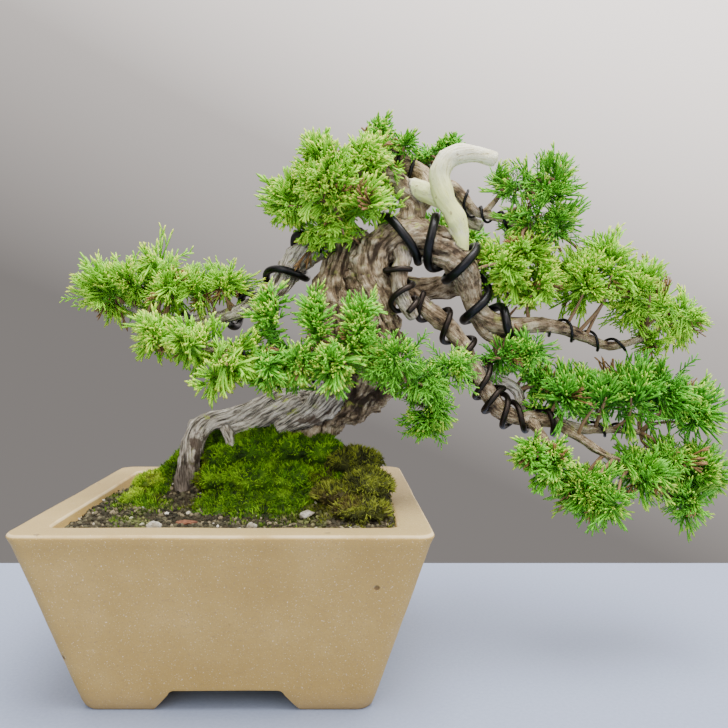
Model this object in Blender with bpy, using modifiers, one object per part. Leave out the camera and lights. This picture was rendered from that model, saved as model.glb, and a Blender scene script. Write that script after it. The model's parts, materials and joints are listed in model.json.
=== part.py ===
"""A juniper bonsai that leans out over one side of a square stoneware pot.

The pot stands on four corner feet. It holds a net over its drain hole, a mounded grit soil with moss
and pumice on it, and the tree, whose trunk, limbs, deadwood and roots are one piece of wood.
Training wires are wound on the limbs, and each pad of foliage is one soft closed solid.

Lengths are metres. Places on the tree are written in millimetres from the middle of the pot's rim:
+X runs out along the long limbs, and +Y to the back. tree_point turns them into metres.
"""

import math

import bmesh
import bpy
import numpy as np
from mathutils import Matrix, Vector

MM = 0.001
GAP = 0.4 * MM  # air between pieces that rest on each other

# The pot
POT_TOP = 175 * MM  # outer side at the rim
POT_BASE = 126 * MM  # outer side at the table
POT_HEIGHT = 81 * MM
POT_LIP = 15 * MM  # flat top of the wall
POT_WALL = 9 * MM  # wall at the floor
POT_FLOOR = 8 * MM
POT_CORNER = 9 * MM  # radius of the upright corners
RIM_ROUND = 2.5 * MM
FOOT_HEIGHT = 9.8 * MM
NOTCH_BASE = 63 * MM  # clear width between two feet at the table
NOTCH_TOP = 50 * MM
DRAIN_HOLE = 22 * MM  # diameter
NET_SIDE = 38 * MM
NET_THICK = 1.2 * MM
NET_CELLS = 5  # holes in a row of the net, an odd number
CLIP_WIRE = 1.5 * MM  # diameter of the wire that holds the net
CLIP_REACH = 8 * MM  # how far each bent end lies out under the floor

# The soil, its moss and its stones
SOIL_DROP = 5 * MM  # soil at the wall, below the rim
MOSS_PILE = 6 * MM  # thickness of the moss
MOUND_RISE = 36 * MM  # height of the mound under the trunk
GROUND_OVERHANG = 9 * MM  # how far the untrimmed ground reaches past the walls
LEFT_RISE = 27 * MM  # height of the ground heaped behind the lifted root
RIGHT_RISE = 16 * MM  # height of the heap that carries the right-hand moss
FRONT_RISE = 3 * MM  # height of the low swell along the front
PLUG_TOP = POT_HEIGHT + 60 * MM  # how high the block that soil and moss are trimmed by reaches

# The tree
TREE_REACH = 241 * MM  # from the middle of the pot to the tip of the longest spray
DRAWN_REACH = 241 * MM  # the reach for which the places below are written
TREE_SCALE = TREE_REACH / DRAWN_REACH
WOOD_STEP = 12 * MM  # distance between the rings of a limb
WOOD_SIDES = 8
TWIG_SIDES = 6
TWIG_RADIUS = 3.2 * MM  # limbs that are nowhere thicker than this have fewer sides
ROOTS = 4
ROOT_DEPTH = 0.72  # share of the soil's depth that the roots go down
ROOT_REACH = 0.62  # share of the pot's floor that they reach out over
WIRE_SAMPLE = 1.5 * MM  # distance between the points that a wire is wound round

PAD_DEPTH = 1.3  # how much deeper, front to back, the eggs of a pad are than drawn below

# The training wires
HEAVY_WIRE = 4.5 * MM
BRANCH_WIRE = 4 * MM
CASCADE_WIRE = 3 * MM
SPRAY_WIRE = 2 * MM
THIN_WIRE = 1.5 * MM
WIRE_STEPS = 10  # points in one turn
WIRE_SIDES = 6
WIRE_SLACK = 1.3  # share by which a wire's clearance is widened, for the flats of the wood

# Derived sizes
POT_HALF = POT_TOP / 2
INNER_HALF = POT_HALF - POT_LIP
FLOOR_TOP = FOOT_HEIGHT + POT_FLOOR
INNER_BASE_HALF = POT_BASE / 2 - POT_WALL
RIM = POT_HEIGHT
SOIL_LEVEL = POT_HEIGHT - SOIL_DROP
SOIL_DEPTH = SOIL_LEVEL - FLOOR_TOP
NET_PITCH = NET_SIDE / (NET_CELLS * 2 + 1)  # width of one strand and of one hole


def clear_scene():
    for obj in list(bpy.data.objects):
        bpy.data.objects.remove(obj, do_unlink=True)


def new_collection(name, helper=False):
    collection = bpy.data.collections.new(name)
    bpy.context.scene.collection.children.link(collection)
    collection.hide_render = helper
    return collection


clear_scene()
PARTS = new_collection("bonsai")
HELPERS = new_collection("cutters", helper=True)


# ---------------------------------------------------------------- tools


def material(name, colour, roughness, metallic=0.0):
    made = bpy.data.materials.new(name)
    made.use_nodes = True
    made.diffuse_color = (*colour, 1)
    shader = made.node_tree.nodes["Principled BSDF"]
    shader.inputs["Base Color"].default_value = (*colour, 1)
    shader.inputs["Roughness"].default_value = roughness
    shader.inputs["Metallic"].default_value = metallic
    return made


def add_object(name, mesh, look=None):
    """A part when it has a look, or else a cutter."""
    obj = bpy.data.objects.new(name, mesh)
    if look is None:
        obj.hide_render = True
        obj.display_type = "WIRE"
        HELPERS.objects.link(obj)
    else:
        mesh.materials.clear()
        mesh.materials.append(look)
        PARTS.objects.link(obj)
    return obj


def mesh_from(name, bm):
    bmesh.ops.recalc_face_normals(bm, faces=bm.faces)
    mesh = bpy.data.meshes.new(name)
    bm.to_mesh(mesh)
    bm.free()
    return mesh


def boolean(obj, operation, other):
    modifier = obj.modifiers.new(operation.lower(), "BOOLEAN")
    modifier.operation = operation
    modifier.solver = "EXACT"
    modifier.object = other


def bake(obj):
    """Turns the modifiers into plain mesh, so that the next cut starts from it."""
    bpy.context.view_layer.update()
    graph = bpy.context.evaluated_depsgraph_get()
    look = obj.data.materials[0] if obj.data.materials else None
    mesh = bpy.data.meshes.new_from_object(obj.evaluated_get(graph), depsgraph=graph)
    obj.modifiers.clear()
    obj.data = mesh
    if look:
        mesh.materials.clear()
        mesh.materials.append(look)
    return obj


def drop_helpers(objects):
    for obj in objects:
        bpy.data.objects.remove(obj, do_unlink=True)


def shade_round(obj, angle=50):
    obj.data.shade_smooth()
    obj.data.set_sharp_from_angle(angle=math.radians(angle))


def tapered_box(name, base_half, top_half, bottom, top, corner, look=None):
    """A square block with rounded upright corners, wider or narrower at its top."""
    bm = bmesh.new()
    bmesh.ops.create_cube(bm, size=2)
    for vert in bm.verts:
        half = top_half if vert.co.z > 0 else base_half
        vert.co = Vector((vert.co.x * half, vert.co.y * half, top if vert.co.z > 0 else bottom))
    upright = [e for e in bm.edges if abs(e.verts[0].co.z - e.verts[1].co.z) > (top - bottom) / 2]
    bmesh.ops.bevel(bm, geom=upright, offset=corner, segments=3, affect="EDGES", profile=0.5)
    return add_object(name, mesh_from(name, bm), look)


def largest_body(obj):
    """Leaves only the biggest shell: no crumbs outside it, and no sealed hollow inside it."""
    bm = bmesh.new()
    bm.from_mesh(obj.data)
    left = set(bm.verts)
    bodies = []
    while left:
        body = set()
        edge = [left.pop()]
        while edge:
            vert = edge.pop()
            body.add(vert)
            for link in vert.link_edges:
                other = link.other_vert(vert)
                if other in left:
                    left.remove(other)
                    edge.append(other)
        bodies.append(body)
    bodies.sort(key=len)
    for body in bodies[:-1]:
        bmesh.ops.delete(bm, geom=list(body), context="VERTS")
    bm.to_mesh(obj.data)
    bm.free()


# ---------------------------------------------------------------- materials

STONEWARE = material("stoneware", (0.44, 0.31, 0.16), 0.72)
NET_PLASTIC = material("net_plastic", (0.02, 0.02, 0.02), 0.5)
BLACK_WIRE = material("black_aluminium", (0.018, 0.017, 0.017), 0.35, 1.0)
BROWN_WIRE = material("brown_aluminium", (0.05, 0.033, 0.022), 0.4, 1.0)
SOIL = material("grit_soil", (0.055, 0.045, 0.03), 0.95)
BRIGHT_MOSS = material("bright_moss", (0.10, 0.22, 0.015), 0.9)
OLIVE_MOSS = material("olive_moss", (0.09, 0.10, 0.02), 0.9)
PUMICE = material("pumice", (0.62, 0.58, 0.50), 0.9)
BARK = material("juniper_bark", (0.24, 0.17, 0.11), 0.85)
BARK_FLAKE = material("bark_flake", (0.22, 0.09, 0.04), 0.8)
FOLIAGE = material("juniper_foliage", (0.09, 0.21, 0.035), 0.65)


# ---------------------------------------------------------------- pot


def make_pot():
    pot = tapered_box("pot", POT_BASE / 2, POT_HALF, 0, POT_HEIGHT, POT_CORNER, STONEWARE)
    round_rim = pot.modifiers.new("rim", "BEVEL")
    round_rim.width = RIM_ROUND
    round_rim.segments = 2
    round_rim.limit_method = "ANGLE"
    round_rim.angle_limit = math.radians(45)
    bake(pot)
    cutters = [pot_cavity("cavity", 0)]
    cutters += [foot_notch("notch_along_y", 0), foot_notch("notch_along_x", math.pi / 2)]
    cutters.append(drain_bore())
    for cutter in cutters:
        boolean(pot, "DIFFERENCE", cutter)
    bake(pot)
    drop_helpers(cutters)
    shade_round(pot, 40)


def wall_half(height):
    """Half the inner side of the pot at a height, along the straight inner wall."""
    share = (height - FLOOR_TOP) / (POT_HEIGHT - FLOOR_TOP)
    return INNER_BASE_HALF + share * (INNER_HALF - INNER_BASE_HALF)


def pot_cavity(name, clearance, top=POT_HEIGHT + 10 * MM):
    """The space inside the pot, smaller by a clearance on every wall."""
    base = INNER_BASE_HALF - clearance
    return tapered_box(
        name, base, wall_half(top) - clearance, FLOOR_TOP + clearance, top, POT_CORNER * 0.7
    )


def foot_notch(name, turn):
    """The gap between two feet, cut right across under the pot."""
    bm = bmesh.new()
    bmesh.ops.create_cube(bm, size=2)
    for vert in bm.verts:
        wide = NOTCH_TOP if vert.co.z > 0 else NOTCH_BASE + (NOTCH_BASE - NOTCH_TOP)
        z = FOOT_HEIGHT if vert.co.z > 0 else -FOOT_HEIGHT
        vert.co = Vector((vert.co.x * wide / 2, vert.co.y * POT_TOP, z))
    top = [e for e in bm.edges if all(v.co.z > 0 and e.verts[0].co.x == v.co.x for v in e.verts)]
    bmesh.ops.bevel(bm, geom=top, offset=FOOT_HEIGHT / 4, segments=2, affect="EDGES", profile=0.5)
    bmesh.ops.rotate(bm, verts=bm.verts, matrix=Matrix.Rotation(turn, 3, "Z"))
    return add_object(name, mesh_from(name, bm))


def drain_bore():
    bm = bmesh.new()
    depth = FLOOR_TOP * 3
    bmesh.ops.create_cone(
        bm, cap_ends=True, segments=20, radius1=DRAIN_HOLE / 2, radius2=DRAIN_HOLE / 2, depth=depth
    )
    return add_object("drain_bore", mesh_from("drain_bore", bm))


def make_net():
    """A square of plastic net over the drain hole, with one square hole for each cell."""
    bm = bmesh.new()
    bmesh.ops.create_grid(bm, x_segments=NET_CELLS * 2 + 1, y_segments=NET_CELLS * 2 + 1, size=NET_SIDE / 2)
    holes = []
    for face in bm.faces:
        column, row = (round((c + NET_SIDE / 2) / NET_PITCH - 0.5) for c in face.calc_center_median()[:2])
        if column % 2 and row % 2:
            holes.append(face)
    bmesh.ops.delete(bm, geom=holes, context="FACES")
    net = add_object("drain_net", mesh_from("drain_net", bm), NET_PLASTIC)
    net.location.z = FLOOR_TOP + GAP
    thick = net.modifiers.new("thickness", "SOLIDIFY")
    thick.thickness = NET_THICK
    thick.offset = 1


def make_clip():
    """A staple of wire over the net: both legs go down the hole and bend out under the floor."""
    radius = CLIP_WIRE / 2
    top = FLOOR_TOP + GAP + NET_THICK + GAP + radius
    under = FOOT_HEIGHT - GAP - radius
    leg = NET_PITCH * 2
    out = DRAIN_HOLE / 2 + CLIP_REACH
    route = [(-out, under), (-leg, under), (-leg, top), (leg, top), (leg, under), (out, under)]
    points = [Vector((x, 0, z)) for x, z in route]
    bends = rounded(points, 2 * radius)
    tube("net_clip", bends, [radius] * len(bends), BLACK_WIRE)


# ---------------------------------------------------------------- curves and tubes


def rounded(points, radius):
    """A bent wire's corners as short arcs."""
    made = [points[0]]
    for before, here, after in zip(points, points[1:], points[2:]):
        start = here + (before - here).normalized() * radius
        end = here + (after - here).normalized() * radius
        for step in range(4):
            t = step / 3
            made.append((1 - t) ** 2 * start + 2 * t * (1 - t) * here + t**2 * end)
    made.append(points[-1])
    return made


def smooth_route(rows, step):
    """Points and radii on a Catmull-Rom curve through the rows (x, y, z, radius)."""
    rows = [Vector(row) for row in rows]
    rows = [rows[0] * 2 - rows[1]] + rows + [rows[-1] * 2 - rows[-2]]
    made = []
    for a, b, c, d in zip(rows, rows[1:], rows[2:], rows[3:]):
        count = max(1, round((c - b).xyz.length / step))
        for i in range(count):
            t = i / count
            value = 0.5 * (
                2 * b + (c - a) * t + (2 * a - 5 * b + 4 * c - d) * t**2 + (3 * b - a - 3 * c + d) * t**3
            )
            made.append(value)
    made.append(rows[-2])
    return [row.xyz for row in made], [row.w for row in made]


def tube(name, points, radii, look=None, sides=8):
    """A round tube along the points, made from a curve and welded into one closed mesh."""
    curve = bpy.data.curves.new(name, "CURVE")
    curve.dimensions = "3D"
    curve.bevel_depth = 1.0
    curve.bevel_resolution = (sides - 4) // 2
    curve.use_fill_caps = True
    spline = curve.splines.new("POLY")
    spline.points.add(len(points) - 1)
    for target, point, radius in zip(spline.points, points, radii):
        target.co = (*point, 1)
        target.radius = radius
    obj = bpy.data.objects.new(name + "_route", curve)
    HELPERS.objects.link(obj)
    bpy.context.view_layer.update()
    graph = bpy.context.evaluated_depsgraph_get()
    mesh = bpy.data.meshes.new_from_object(obj.evaluated_get(graph))
    bpy.data.objects.remove(obj, do_unlink=True)
    bm = bmesh.new()
    bm.from_mesh(mesh)
    bmesh.ops.remove_doubles(bm, verts=bm.verts, dist=0.01 * MM)
    made = add_object(name, mesh_from(name, bm), look)
    if look:
        made.data.shade_smooth()
    return made


# ---------------------------------------------------------------- the wood

# Each limb is its centre line: x, y, z and radius in mm from the middle of the rim.
LIMBS = {
    "trunk": [
        (20, 5, -16, 14), (20.5, 5, 0, 16), (24, 5, 16, 15), (31, 5, 31, 13), (44, 4, 43, 12.5),
        (56, 3, 51, 14), (64, 4, 61, 17), (63, 4, 74, 19.5), (58, 5, 89, 20), (57, 4, 103, 16),
    ],
    "root_leg": [
        (-29.5, -9, -18, 6), (-29, -8, -2, 6.2),
        (-27, -6, 18, 6), (-24, -4, 30.5, 5.8), (-16.5, -2, 37, 5.2),
        (-5, 0, 39, 5), (7, 0, 43.5, 5), (18, 2, 48.5, 5.5), (34, 5, 49, 7.5),
    ],
    "root_strand": [(-9, -1, 33, 3), (3, -3, 35.5, 4), (16, -4, 41.5, 4.5), (29, -3, 46.5, 5.5)],
    "root_ridge": [(18, -5, 34, 4.5), (31, -8, 40, 6), (42, -6, 47, 7.5), (52, -2, 54, 8)],
    "root_spur": [(-9, -2, 34, 3.5), (-6.5, -5, 27, 2.6), (-4, -6, 19, 1)],
    "right_limb": [
        (67, 0, 76, 14), (67, -2, 96, 11), (63, -3, 111, 10), (65.5, -2, 121.5, 10), (72, -1, 128, 9.5),
        (81, -2, 131.5, 9), (92, -5, 130, 9), (103, -8, 123.5, 8.5), (110.5, -9, 115, 7.5),
        (114, -8, 106, 6), (116, -5, 97.5, 5.2), (123, -5, 90, 5), (133.5, -7, 85.5, 4.6),
        (147, -8, 86, 4), (160, -6, 84.5, 3.2), (173.5, -4, 79.5, 2.6), (188, -2, 75.5, 2.1),
        (205.5, 0, 79.5, 1.5),
    ],
    "left_column": [
        (50, 2, 66, 15), (45, 0, 84, 12.5), (43, -1, 100, 10.5), (46.5, 0, 111.5, 9), (52.5, 3, 122.5, 8.5),
        (60, 5, 129, 8),
    ],
    "left_limb": [
        (62, 6, 128, 8), (54, 6, 130, 7.5), (44, 7, 130, 7.2), (32, 6, 124.5, 7.4), (23.5, 4, 116, 6.5),
        (18, 2, 107.5, 5.5), (11, 0, 100.5, 4.6), (-0.5, -2, 94, 4), (-16, -3, 89, 3.2),
        (-32.5, -3, 88, 2.6), (-49, -2, 91.5, 2), (-64, 0, 97.5, 1.4),
    ],
    "crown_limb": [
        (80, -1, 127, 7.5), (86, 1, 141, 7), (86, 2, 149.5, 6.2), (81, 0, 156.5, 5.5), (73.5, -4, 162, 4.8),
        (64, -10, 162.5, 4), (54, -15, 156, 3), (44, -18, 149, 2),
    ],
    "apex_limb": [
        (86.5, 3, 146, 5.5), (93, 4, 153.5, 5.5), (93, 6, 163, 4.8), (84.5, 7, 169.5, 4.4),
        (75, 6, 174, 4), (67.5, 4, 178, 3), (63.5, 2, 183, 1.8),
    ],
    "deadwood": [
        (110.5, -9, 115, 3.5), (109, -13, 126.5, 4), (106.5, -15, 136.5, 4.9), (101, -16, 147, 5.2),
        (98, -16, 157, 5.2), (100, -16, 165, 5.4), (106.5, -17, 169.5, 5), (115, -18, 169, 4),
        (124.5, -19, 166, 3.4),
    ],
    "deadwood_fork": [(86, 0, 158, 4.4), (94, -8, 151.5, 4.5), (101, -14, 146, 4)],
    "upper_right": [
        (91, 5, 157, 3.4), (101, 8, 159.5, 3),
        (108.5, 9, 159, 2.8), (115, 8, 152, 2.4), (120.5, 6, 145, 2.2),
        (127, 4, 143, 2.1), (134, 2, 140.5, 1.9), (142.5, 0, 137, 1.6), (151, -2, 137, 1.2),
    ],
    "upper_twig": [
        (123, 6, 143.5, 1.8), (129, 4, 150, 1.5),
        (134, 2, 156, 1.3), (141.5, 0, 157, 1.2), (153, -3, 161, 1),
    ],
    "side_stub": [(106, 9, 159.5, 2.6), (112, 12, 153, 3.2), (118, 13, 142, 3.2), (124, 11, 138.5, 2.8)],
    "crown_twig": [(92.5, 6, 161, 3), (99, 12, 168, 2.2), (107, 17, 178, 1.4)],
    "under_limb": [
        (63, 9, 106, 9), (73, 15, 107, 7.5), (87, 18, 106, 6.4), (101, 15, 106, 6), (112, 3, 107, 5),
    ],
    "cut_limb": [
        (79, -3, 129, 4.4), (80, -9, 119.5, 4.2), (78.5, -12, 111, 4.3), (79, -13, 102, 4.1),
        (82, -13, 95, 3.6), (85.5, -12, 89.5, 2.5),
    ],
    "cascade": [
        (70, 0, 105, 6), (82.5, -1, 102.5, 4.4),
        (90, -2, 97.5, 4.3), (97, -4, 91, 4.4), (104.5, -5, 84.5, 4.5),
        (110, -6, 77, 4.3), (113.5, -7, 70, 4), (118, -8, 61.5, 4), (123.5, -8, 51.5, 4.2),
        (129.5, -8, 43.5, 4.4), (137.5, -8, 39.5, 4), (148.5, -8, 38.5, 3.5), (160, -6, 36, 3),
        (172, -4, 33, 2.5), (184, -2, 33, 2.1), (203, 0, 31, 1.5),
    ],
    "cascade_low": [(144, -9, 38.5, 3), (150.5, -18, 27, 2), (147.5, -24, 19, 1.4)],
    "cascade_front": [(158, -7, 36, 2.8), (169, -12, 29, 2.2), (177.5, -14, 23, 1.9), (193, -18, 15.5, 1.2)],
    "cascade_fork": [
        (113, -7, 70, 3.8), (119, -5, 64.5, 3.2),
        (129, -3, 58.5, 2.8), (139, -3, 52.5, 2.8), (141, -7, 41, 2.8),
    ],
    "under_fork": [(115.5, -5, 97, 4), (123, -3, 83, 3.6), (135, -5, 77.5, 3.2), (145, -8, 75.5, 2.2)],
    "low_limb": [
        (57, -3, 61, 6), (46.5, -11, 62, 4.4), (38, -20, 62.5, 3.4), (25, -30, 64, 2.8), (9, -34, 68.5, 2.2),
        (-10, -32, 73.5, 1.7), (-27.5, -28, 77, 1.2),
    ],
    "low_twig": [(39, -19, 62.5, 2.4), (45, -27, 71, 1.7), (49, -32, 80, 1.2)],
    "front_twig": [(63, -8, 63, 5), (69, -14, 63.5, 3), (76, -24, 62.5, 2), (85, -31, 59, 1.2)],
    "back_limb": [(82, 6, 127, 6.5), (90.5, 26, 131, 4), (101, 43, 136.5, 3), (114.5, 58, 142, 1.5)],
}


def tree_rows(rows):
    """The rows of a limb in metres from the table, at the tree's scale."""
    k = MM * TREE_SCALE
    return [(x * k, y * k, RIM + z * k, r * k) for x, y, z, r in rows]


def tree_point(x, y, z):
    k = MM * TREE_SCALE
    return Vector((x * k, y * k, RIM + z * k))


def hidden_roots():
    """Tapered roots that run from the trunk's foot out and down into the soil."""
    made = {}
    foot_x, foot_y = LIMBS["trunk"][0][0] * MM * TREE_SCALE, LIMBS["trunk"][0][1] * MM * TREE_SCALE
    for i in range(ROOTS):
        turn = math.radians(35 + i * 360 / ROOTS)
        rows = []
        for share, radius in ((0.1, 9), (0.45, 5), (1, 2)):
            depth = SOIL_LEVEL - share * ROOT_DEPTH * SOIL_DEPTH - 6 * MM
            reach = share * ROOT_REACH * INNER_BASE_HALF
            x = foot_x * (1 - share) + reach * math.cos(turn)
            y = foot_y * (1 - share) + reach * math.sin(turn)
            rows.append((x, y, depth, radius * MM))
        made[f"root_{i + 1}"] = rows
    return made


LIMB_ROWS = {name: tree_rows(rows) for name, rows in LIMBS.items()} | hidden_roots()


def sides_of(radii):
    return WOOD_SIDES if max(radii) > TWIG_RADIUS * TREE_SCALE else TWIG_SIDES


def make_wood():
    """All the limbs joined into one piece of wood, and the same limbs fatter by the gap as cutters."""
    tubes = []
    for name, rows in LIMB_ROWS.items():
        points, radii = smooth_route(rows, WOOD_STEP * TREE_SCALE)
        tubes.append(tube(name, points, radii, sides=sides_of(radii)))
    wood = add_object("trunk_and_branches", tubes[0].data.copy(), BARK)
    for other in tubes[1:]:
        boolean(wood, "UNION", other)
    bake(wood)
    largest_body(wood)
    drop_helpers(tubes)
    wood.data.shade_smooth()
    return wood


def limb_envelopes():
    """The limbs once more, fatter by the gap: what soil, moss and foliage are cut by."""
    made = []
    for name, rows in LIMB_ROWS.items():
        points, radii = smooth_route(rows, WOOD_STEP * TREE_SCALE)
        fatter = [radius + 2 * GAP for radius in radii]
        made.append(tube("clear_" + name, points, fatter, sides=sides_of(radii)))
    return made


# ---------------------------------------------------------------- the training wires


def limb_frames(name):
    """Finely spaced points, radii and length along a limb, with a normal carried along it."""
    points, radii = smooth_route(LIMB_ROWS[name], WIRE_SAMPLE * TREE_SCALE)
    tangents = [(b - a).normalized() for a, b in zip(points, points[1:])]
    tangents.append(tangents[-1])
    normal = tangents[0].cross(Vector((0, 1, 0.2))).normalized()
    normals, lengths = [], [0.0]
    for i, tangent in enumerate(tangents):
        normal = (normal - tangent * normal.dot(tangent)).normalized()
        normals.append(normal.copy())
        if i:
            lengths.append(lengths[-1] + (points[i] - points[i - 1]).length)
    return points, radii, tangents, normals, lengths


class Obstacles:
    """Wood and wires as rows of balls, which a new wire is kept clear of."""

    def __init__(self):
        self.centres = []
        self.radii = []
        for rows in LIMB_ROWS.values():
            points, radii = smooth_route(rows, WIRE_SAMPLE * TREE_SCALE)
            self.centres += [tuple(point) for point in points]
            self.radii += radii

    def add(self, points, radius):
        """Adds a wire, filled in so that no ball of it is missed."""
        for a, b in zip(points, points[1:]):
            for share in (0, 0.25, 0.5, 0.75):
                self.centres.append(tuple(a.lerp(b, share)))
                self.radii.append(radius)

    def clear_of(self, points, reach, rounds=60):
        """Pulls a wire tight and pushes it out of the balls, by turns, until it lies clear on them."""
        centres = np.array(self.centres)
        radii = np.array(self.radii)
        spots = np.array(points)
        for done in range(rounds):
            if done < rounds / 2:
                spots[1:-1] += 0.06 * (spots[:-2] + spots[2:] - 2 * spots[1:-1])
            for ends in (1, 2):
                places = spots if ends == 1 else (spots[:-1] + spots[1:]) / 2
                offsets = places[:, None] - centres[None]
                rooms = np.linalg.norm(offsets, axis=2) - radii[None] - reach
                worst = rooms.argmin(axis=1)
                rows = np.arange(len(places))
                short = np.maximum(-rooms[rows, worst], 0)
                away = offsets[rows, worst]
                push = away / np.linalg.norm(away, axis=1)[:, None] * short[:, None]
                for end in range(ends):
                    spots[end : end + len(places)] += push
        return [Vector(spot) for spot in spots]


# name: limb, start and end as shares of its length, pitch in mm, first angle, wire, metal
WIRES = {
    "wire_right_limb": ("right_limb", 0.23, 0.66, 19, 200, HEAVY_WIRE, BLACK_WIRE),
    "wire_left_limb": ("left_limb", 0.16, 0.60, 21, 60, BRANCH_WIRE, BLACK_WIRE),
    "wire_left_tip": ("left_limb", 0.64, 0.93, 18, 240, SPRAY_WIRE, BLACK_WIRE),
    "wire_cascade_first": ("cascade", 0.12, 0.62, 17, 30, CASCADE_WIRE, BROWN_WIRE),
    "wire_cascade_second": ("cascade", 0.42, 0.74, 17, 200, CASCADE_WIRE, BROWN_WIRE),
    "wire_cascade_tip": ("cascade", 0.78, 0.95, 14, 90, THIN_WIRE, BROWN_WIRE),
    "wire_cut_limb": ("cut_limb", 0.40, 0.85, 9, 30, CASCADE_WIRE, BROWN_WIRE),
    "wire_apex": ("apex_limb", 0.34, 0.66, 9, 100, SPRAY_WIRE, BLACK_WIRE),
    "wire_upper_right": ("upper_right", 0.34, 0.82, 12, 0, THIN_WIRE, BLACK_WIRE),
    "wire_right_tip": ("right_limb", 0.74, 0.94, 14, 120, THIN_WIRE, BLACK_WIRE),
    "wire_low_limb": ("low_limb", 0.30, 0.66, 15, 40, SPRAY_WIRE, BLACK_WIRE),
}


def wind(obstacles, limb, start, end, pitch, angle, diameter):
    """The turns of one wire round one limb, clear of the wood and of the wires already wound."""
    points, radii, tangents, normals, lengths = limb_frames(limb)
    reach = diameter / 2 + GAP
    turns = (end - start) * lengths[-1] / (pitch * MM * TREE_SCALE)
    count = round(turns * WIRE_STEPS)
    over = 1 / math.cos(math.pi / WIRE_STEPS)
    made = []
    for i in range(count + 1):
        along = (start + (end - start) * i / count) * lengths[-1]
        at = min(int(np.searchsorted(lengths, along)), len(points) - 1)
        turn = math.radians(angle) + 2 * math.pi * i / WIRE_STEPS
        out = Matrix.Rotation(turn, 3, tangents[at]) @ normals[at]
        made.append(points[at] + out * (radii[at] + reach) * over)
    return obstacles.clear_of(made, reach * WIRE_SLACK)


def make_wires():
    """The wires, and fatter copies of them that foliage is cut by."""
    obstacles = Obstacles()
    envelopes = []
    for name, (limb, start, end, pitch, angle, diameter, metal) in WIRES.items():
        points = wind(obstacles, limb, start, end, pitch, angle, diameter)
        obstacles.add(points, diameter / 2)
        tube(name, points, [diameter / 2] * len(points), metal, sides=WIRE_SIDES)
        fat = diameter / 2 * 1.1 + 2 * GAP
        envelopes.append(tube("clear_" + name, points, [fat] * len(points), sides=WIRE_SIDES))
    return envelopes


# ---------------------------------------------------------------- soil, moss and stones


def ground_height(x, y):
    """The top of the soil: level at the walls, a mound under the trunk, rises at its left and right."""
    k = MM * TREE_SCALE
    mound = MOUND_RISE * bell(x - 22 * k, 26 * k) * bell(y - 2 * k, 16 * k)
    behind_root = LEFT_RISE * bell(x + 24 * k, 16 * k) * bell(y - 16 * k, 14 * k)
    right_heap = RIGHT_RISE * bell(x - (INNER_HALF - 15 * MM), 14 * MM) * bell(y + 24 * MM, 22 * MM)
    front_swell = FRONT_RISE * bell(x + INNER_HALF * 0.6, 18 * MM) * bell(y + 20 * MM, 25 * MM)
    return SOIL_LEVEL + mound + behind_root + right_heap + front_swell


def bell(distance, width):
    return math.exp(-0.5 * (distance / width) ** 2)


def ground_block(name, lift, cells=13):
    """A block under the ground's surface, which is lifted by a clearance."""
    bm = bmesh.new()
    half = INNER_HALF + GROUND_OVERHANG
    bmesh.ops.create_grid(bm, x_segments=cells, y_segments=cells, size=half)
    for vert in bm.verts:
        vert.co.z = ground_height(vert.co.x, vert.co.y) + lift
    bmesh.ops.triangulate(bm, faces=bm.faces, quad_method="FIXED")
    bottom = bmesh.ops.extrude_face_region(bm, geom=list(bm.faces))
    for item in bottom["geom"]:
        if isinstance(item, bmesh.types.BMVert):
            item.co.z = 0
    return add_object(name, mesh_from(name, bm))


def egg_shape(name, centre, radii, turn, detail):
    bm = bmesh.new()
    bmesh.ops.create_icosphere(bm, subdivisions=detail, radius=1)
    bmesh.ops.rotate(bm, verts=bm.verts, matrix=Matrix.Rotation(turn, 3, "Z"))
    bmesh.ops.scale(bm, verts=bm.verts, vec=radii)
    bmesh.ops.translate(bm, verts=bm.verts, vec=centre)
    return add_object(name, mesh_from(name, bm))


def soft_form(name, lobes, look, cutters, keep=None, detail=2):
    """Overlapping eggs joined into one soft solid, cut clear of what runs through it.

    It gives back the same eggs grown by the gap, which the next form is cut by."""
    eggs, grown = [], []
    for i, (centre, radii) in enumerate(lobes):
        eggs.append(egg_shape(f"{name}_{i}", centre, radii, 0.7 * i, detail))
        wider = [radius + 2 * GAP for radius in radii]
        grown.append(egg_shape(f"{name}_{i}_clear", centre, wider, 0.7 * i, detail))
    form = add_object(name, eggs[0].data.copy(), look)
    for egg in eggs[1:]:
        boolean(form, "UNION", egg)
    if keep:
        boolean(form, "INTERSECT", keep)
    for cutter in cutters:
        if touches(eggs, cutter):
            boolean(form, "DIFFERENCE", cutter)
    bake(form)
    largest_body(form)
    drop_helpers(eggs)
    shade_round(form, 70)
    return grown


def box_of(obj):
    points = np.array([obj.matrix_world @ vert.co for vert in obj.data.vertices])
    return points.min(axis=0), points.max(axis=0)


def touches(eggs, cutter):
    """Whether a cutter's box meets the box of any of the eggs."""
    low, high = box_of(cutter)
    for egg in eggs:
        egg_low, egg_high = box_of(egg)
        if (low < egg_high).all() and (egg_low < high).all():
            return True
    return False


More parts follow.
